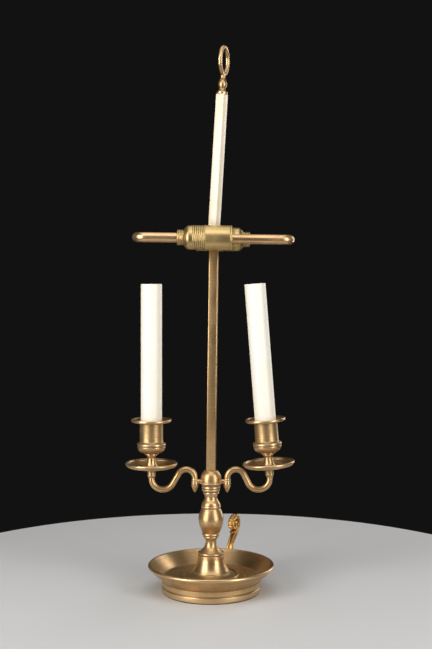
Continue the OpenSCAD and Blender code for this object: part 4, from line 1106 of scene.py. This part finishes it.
def finial_ring(s):
    """A short neck under an upright ring of softened square section."""
    a, half, spigot = full_turn(40), s.ring_band / 2, 4.6
    section = np.stack([s.ring_r - half + half * squared(np.cos(a), 0.8),
                        s.ring_w / 2 * squared(np.sin(a), 0.8)], 1)
    neck = joined([[0, -spigot], [1.8, -spigot], [1.8, -0.05], [4, 0]], run(4, 0.05, 2.8, 1.8, "flare", 8),
                  run(2.8, 2, 3.1, s.neck_h + 1.2, "shrink", 8), [[0, s.neck_h + 1.2]])
    turn = shift(z=s.neck_h + s.ring_r) @ spin("Z", s.ring_turn) @ spin("Y", 90)
    return together(turned(neck), placed(turned(section, closed=True, sides=128), turn))


class DressPost(bpy.types.Operator):
    """Square post, hub, shade rod, knop and ring finial"""
    bl_idname = "lamp.dress_post"
    bl_label = "Post and shade rod"

    def execute(self, context):
        s = millimetres(context.scene.lamp_post)
        square = square_section(s.side / 2, s.side / 2, s.edge)
        post = bar(square, -5, s.hub_s - s.hub_under)
        dressed("post", placed(post, on_post(s) @ spin("Z", s.turn)), "satin_brass")
        dressed("hub", hub_block(s), "polished_brass")
        rod = bar(square, 0.1, s.rod_len)
        rod_place, body = on_hub(s), "shade_rod_body"
        dressed("shade_rod", placed(rod, rod_place @ spin("Z", s.rod_turn)), "ivory", body)
        knop = placed(turned(knop_profile(s)), rod_place @ shift(z=s.rod_len))
        dressed("finial_knop", knop, "satin_brass", body)
        ring = placed(finial_ring(s), rod_place @ shift(z=s.rod_len + s.knop_h))
        dressed("ring_finial", ring, "satin_brass", body)
        refinish("satin_brass", "post_plug", "post_screw")
        refinish("steel", "rod_stud")
        return {"FINISHED"}


# ---- Tube arms and lampholders ----
def tube_arm(post, holder):
    """A round tube out from the hub, back round half a circle, and into the lampholder's nut."""
    bend = holder.off_y / 2
    bend_x = holder.tube_reach - bend - holder.tube_r
    end_x = holder.mouth_x - holder.shell_len - holder.rib_len - holder.cap_len - 1.5
    out = np.stack([np.linspace(-post.hub_x, -bend_x, 12)[:-1], np.zeros(11)], 1)
    back = np.stack([np.linspace(-bend_x, end_x, 10)[1:], np.full(9, -holder.off_y)], 1)
    line = joined(out, arc((-bend_x, -bend), bend, 90, 270, 40), back)
    path = np.stack([line[:, 0], line[:, 1], 0 * line[:, 0]], 1)
    return swept(path, round_section(holder.tube_r, 36), (0, 0, 1))


def nut_profile(s, rings=4):
    """Half-round rings side by side, which a finger grips."""
    step, r = (s.nut_len - 1) / rings, s.nut_r - 0.9
    grip = [bead(r, 0.3 + i * step, 0.3 + (i + 1) * step, 0.8) for i in range(rings)]
    return joined([[s.tube_r, 0], [s.nut_r - 1.2, 0]], *grip, [[r, s.nut_len], [s.tube_r, s.nut_len]])


def cap_profile(s):
    """A dome that opens to the ribbed ring, hollow inside."""
    skirt = s.shell_r - 0.5
    return joined([[4.5, 0]], run(s.nut_r + 0.6, 0, skirt, 0.62 * s.cap_len, "swell", 18),
                  [[skirt, s.cap_len], [skirt - s.shell_wall, s.cap_len],
                   [skirt - s.shell_wall, 0.55 * s.cap_len], [s.nut_r - 0.6, 1.4], [4.5, 1.4]])


def ring_profile(s):
    """Even round ribs over a plain bore."""
    pitch, inner = s.rib_len / s.ribs, s.shell_r - 0.5 - s.shell_wall
    ribs = [bead(s.shell_r - 0.8, i * pitch + 0.1, (i + 1) * pitch - 0.1, 0.6) for i in range(s.ribs)]
    return joined([[inner, 0]], *ribs, [[inner, s.rib_len]])


def shell_profile(s):
    """A thin smooth tube with a rolled rim at its mouth."""
    inner, rim = s.shell_r - s.shell_wall, s.shell_len
    return joined([[inner, 0], [s.shell_r, 0], [s.shell_r, rim - 2.2], [s.shell_r - 0.25, rim - 1.9]],
                  bead(s.shell_r - 0.1, rim - 1.8, rim, 0.4), [[inner, rim]])


def insulator_profile(s, back, thread):
    """A disc that carries a thick tube round the threaded sleeve."""
    seat, sleeve = s.shell_r - 0.5 - s.shell_wall - 0.05, s.thread_r + 0.55
    return joined([[0, back], [seat, back], [seat, thread], [sleeve + 2.55, thread],
                   [sleeve + 2.55, thread + s.thread_len], [sleeve, thread + s.thread_len], [sleeve, thread],
                   [0, thread]])


def threaded_sleeve(s, wall=0.5, pitch=2.8, depth=0.25, steps=60, sides=72):
    """A thin cup whose wall winds: its radius draws in by depth (1 - cos(360 z / pitch - a)) as it rises,
    fading at its foot and its rim."""
    outer, a = s.thread_r + wall, full_turn(sides)
    rows = joined([[0, 0], [outer, 0]], run(outer, 0.4, outer, s.thread_len, steps=steps),
                  run(s.thread_r, s.thread_len, s.thread_r, 0.8, steps=steps), [[0, 0.8]])
    r, z = rows[:, :1], rows[:, 1:]
    fade = np.clip((z - 1.2) / 1.5, 0, 1) * np.clip((s.thread_len - 0.3 - z) / 1.2, 0, 1) * (r > 1)
    wave = -depth * fade * (1 - np.cos(2 * np.pi * z / pitch - a))
    # Grooves count as hollows, and the threaded stretch counts as edges, which take the painted highlight in
    # turned_metal.
    return outward(round_z(r + wave, z, a), lattice(len(rows), sides, False, True),
                   (-2.5 * wave - 0.6 * fade).ravel())


class DressLampholders(bpy.types.Operator):
    """Bent tube arms and both lampholders with their insulators, sleeves and contacts"""
    bl_idname = "lamp.dress_lampholders"
    bl_label = "Lampholders"

    def execute(self, context):
        post, s = millimetres(context.scene.lamp_post), millimetres(context.scene.lamp_holders)
        rib_x = s.mouth_x - s.shell_len
        cap_x = rib_x - s.rib_len
        nut_x = cap_x - s.cap_len
        thread_x = s.mouth_x - 3 - s.thread_len
        for turn, side, place_name in ((0, "left", "front"), (180, "right", "rear")):
            tube = placed(tube_arm(post, s), on_post(post, post.hub_s) @ spin("Z", turn))
            dressed(side + "_tube_arm", tube, "bronze_tube")
            place = on_holder(post, s, place_name)
            for name, x, profile in (("nut", nut_x - s.nut_len, nut_profile), ("cap", nut_x, cap_profile),
                                     ("ribbed_ring", cap_x, ring_profile), ("shell", rib_x, shell_profile)):
                shape = placed(turned(profile(s), closed=True, corner=0.2), place @ shift(z=x))
                dressed(place_name + "_" + name, shape, "polished_brass")
            core = insulator_profile(s, cap_x + 0.6, thread_x)
            dressed(place_name + "_insulator", placed(turned(core, corner=0.5), place), "insulator")
            dressed(place_name + "_thread_sleeve", placed(threaded_sleeve(s), place @ shift(z=thread_x)),
                    "polished_brass")
            button = joined([[0, 0.6], [3.2, 0.6], [3.2, 1.2]], run(2.2, 1.5, 0.2, 2.8, "shrink", 8),
                            [[0, 2.8]])
            contact = placed(turned(button), place @ shift(z=thread_x))
            new_piece(place_name + "_centre_contact", contact, "polished_brass", "lamp")
        return {"FINISHED"}


# ---- Stage, in metres ----
MIDDLE = (0, 0, 0.33)
SIDE_AWAY, SIDE_HIGH = 1.25, 0.50


def softbox(name, size, power, spot):
    """A rectangular light at a spot, facing the lamp's middle."""
    data = bpy.data.lights.new(name, "AREA")
    data.shape, data.size, data.size_y, data.energy = "RECTANGLE", size[0], size[1], power
    light = bpy.data.objects.new(name, data)
    bpy.context.scene.collection.objects.link(light)
    ahead = np.subtract(MIDDLE, spot)
    level = np.hypot(ahead[0], ahead[1])
    light.location = spot
    light.rotation_euler = (np.pi / 2 + np.arctan2(ahead[2], level), 0, np.arctan2(-ahead[0], ahead[1]))


def beside(azimuth):
    """A place for a light, at an azimuth in degrees from the front, to the right where it is positive."""
    a = np.radians(azimuth)
    return (SIDE_AWAY * np.sin(a), -SIDE_AWAY * np.cos(a), SIDE_HIGH)


class SetStage(bpy.types.Operator):
    """Camera, pale floor, dark room and softboxes"""
    bl_idname = "lamp.set_stage"
    bl_label = "Stage"

    def execute(self, context):
        scene, s = context.scene, context.scene.lamp_studio
        data = bpy.data.cameras.new("camera")
        data.lens, data.sensor_width, data.shift_y = s.lens, 36, s.shift
        camera = bpy.data.objects.new("camera", data)
        camera.location, camera.rotation_euler = (s.eye_x, s.eye_y, s.eye_z), (np.pi / 2, 0, 0)
        scene.collection.objects.link(camera)
        scene.camera = camera
        scene.view_settings.view_transform = "Standard"
        mesh = bpy.data.meshes.new("floor")
        ring = arc((0, 0), s.floor_r, 0, 360, 193)[:-1]
        mesh.from_pydata(np.column_stack([ring, 0 * ring[:, 0]]).tolist(), [], [list(range(len(ring)))])
        plain = Finish("pale_floor", Roughness=0.65)
        colour = plain.mixed(s.floor, times(s.floor, 0.97), plain.noise(3, 2))
        mesh.materials.append(plain.finished(Base_Color=colour))
        floor = bpy.data.objects.new("floor", mesh)
        scene.collection.objects.link(floor)
        world = bpy.data.worlds.new("room")
        scene.world = world
        world.use_nodes = True
        world.node_tree.nodes["Background"].inputs["Color"].default_value = rgba(s.room)
        softbox("key_box", (0.7, 1.3), s.key, beside(-50))
        softbox("fill_box", (0.45, 1.3), s.fill, beside(48))
        softbox("high_box", (1.2, 0.7), s.high, (0, -0.75, 1.35))
        softbox("rim_box", (0.4, 1.1), s.rim, beside(134))
        softbox("overhead_box", (1.4, 1.4), s.over, (0, 0.1, 1.9))
        return {"FINISHED"}


# ---- Sidebar and running ----
GROUPS = {"lamp_base": BaseSizes, "lamp_stem": StemSizes, "lamp_arms": ArmSizes, "lamp_post": PostSizes,
          "lamp_holders": LampholderSizes, "lamp_finishes": Finishes, "lamp_studio": StudioSettings}
OPERATORS = (SetStage, DressBase, DressStem, DressArms, DressPost, DressLampholders)


class LampPanel(bpy.types.Panel):
    """Sizes, colours and steps of the lamp"""
    bl_idname = "VIEW3D_PT_lamp"
    bl_label = "Bouillotte lamp"
    bl_space_type = "VIEW_3D"
    bl_region_type = "UI"
    bl_category = "Lamp"

    def draw(self, context):
        for operator in OPERATORS:
            self.layout.operator(operator.bl_idname)
        for name, group in GROUPS.items():
            box = self.layout.box()
            box.label(text=group.__doc__)
            for item in group.__annotations__:
                box.prop(getattr(context.scene, name), item)


def register():
    for kind in (*GROUPS.values(), *OPERATORS, LampPanel):
        bpy.utils.register_class(kind)
    for name, group in GROUPS.items():
        setattr(bpy.types.Scene, name, PointerProperty(type=group))


def unregister():
    for name in GROUPS:
        delattr(bpy.types.Scene, name)
    for kind in reversed((*GROUPS.values(), *OPERATORS, LampPanel)):
        bpy.utils.unregister_class(kind)


def main():
    """Registers the classes and runs each step in order."""
    register()
    for operator in OPERATORS:
        step = operator.bl_idname.split(".")[1]
        getattr(bpy.ops.lamp, step)()


if __name__ == "__main__":
    main()
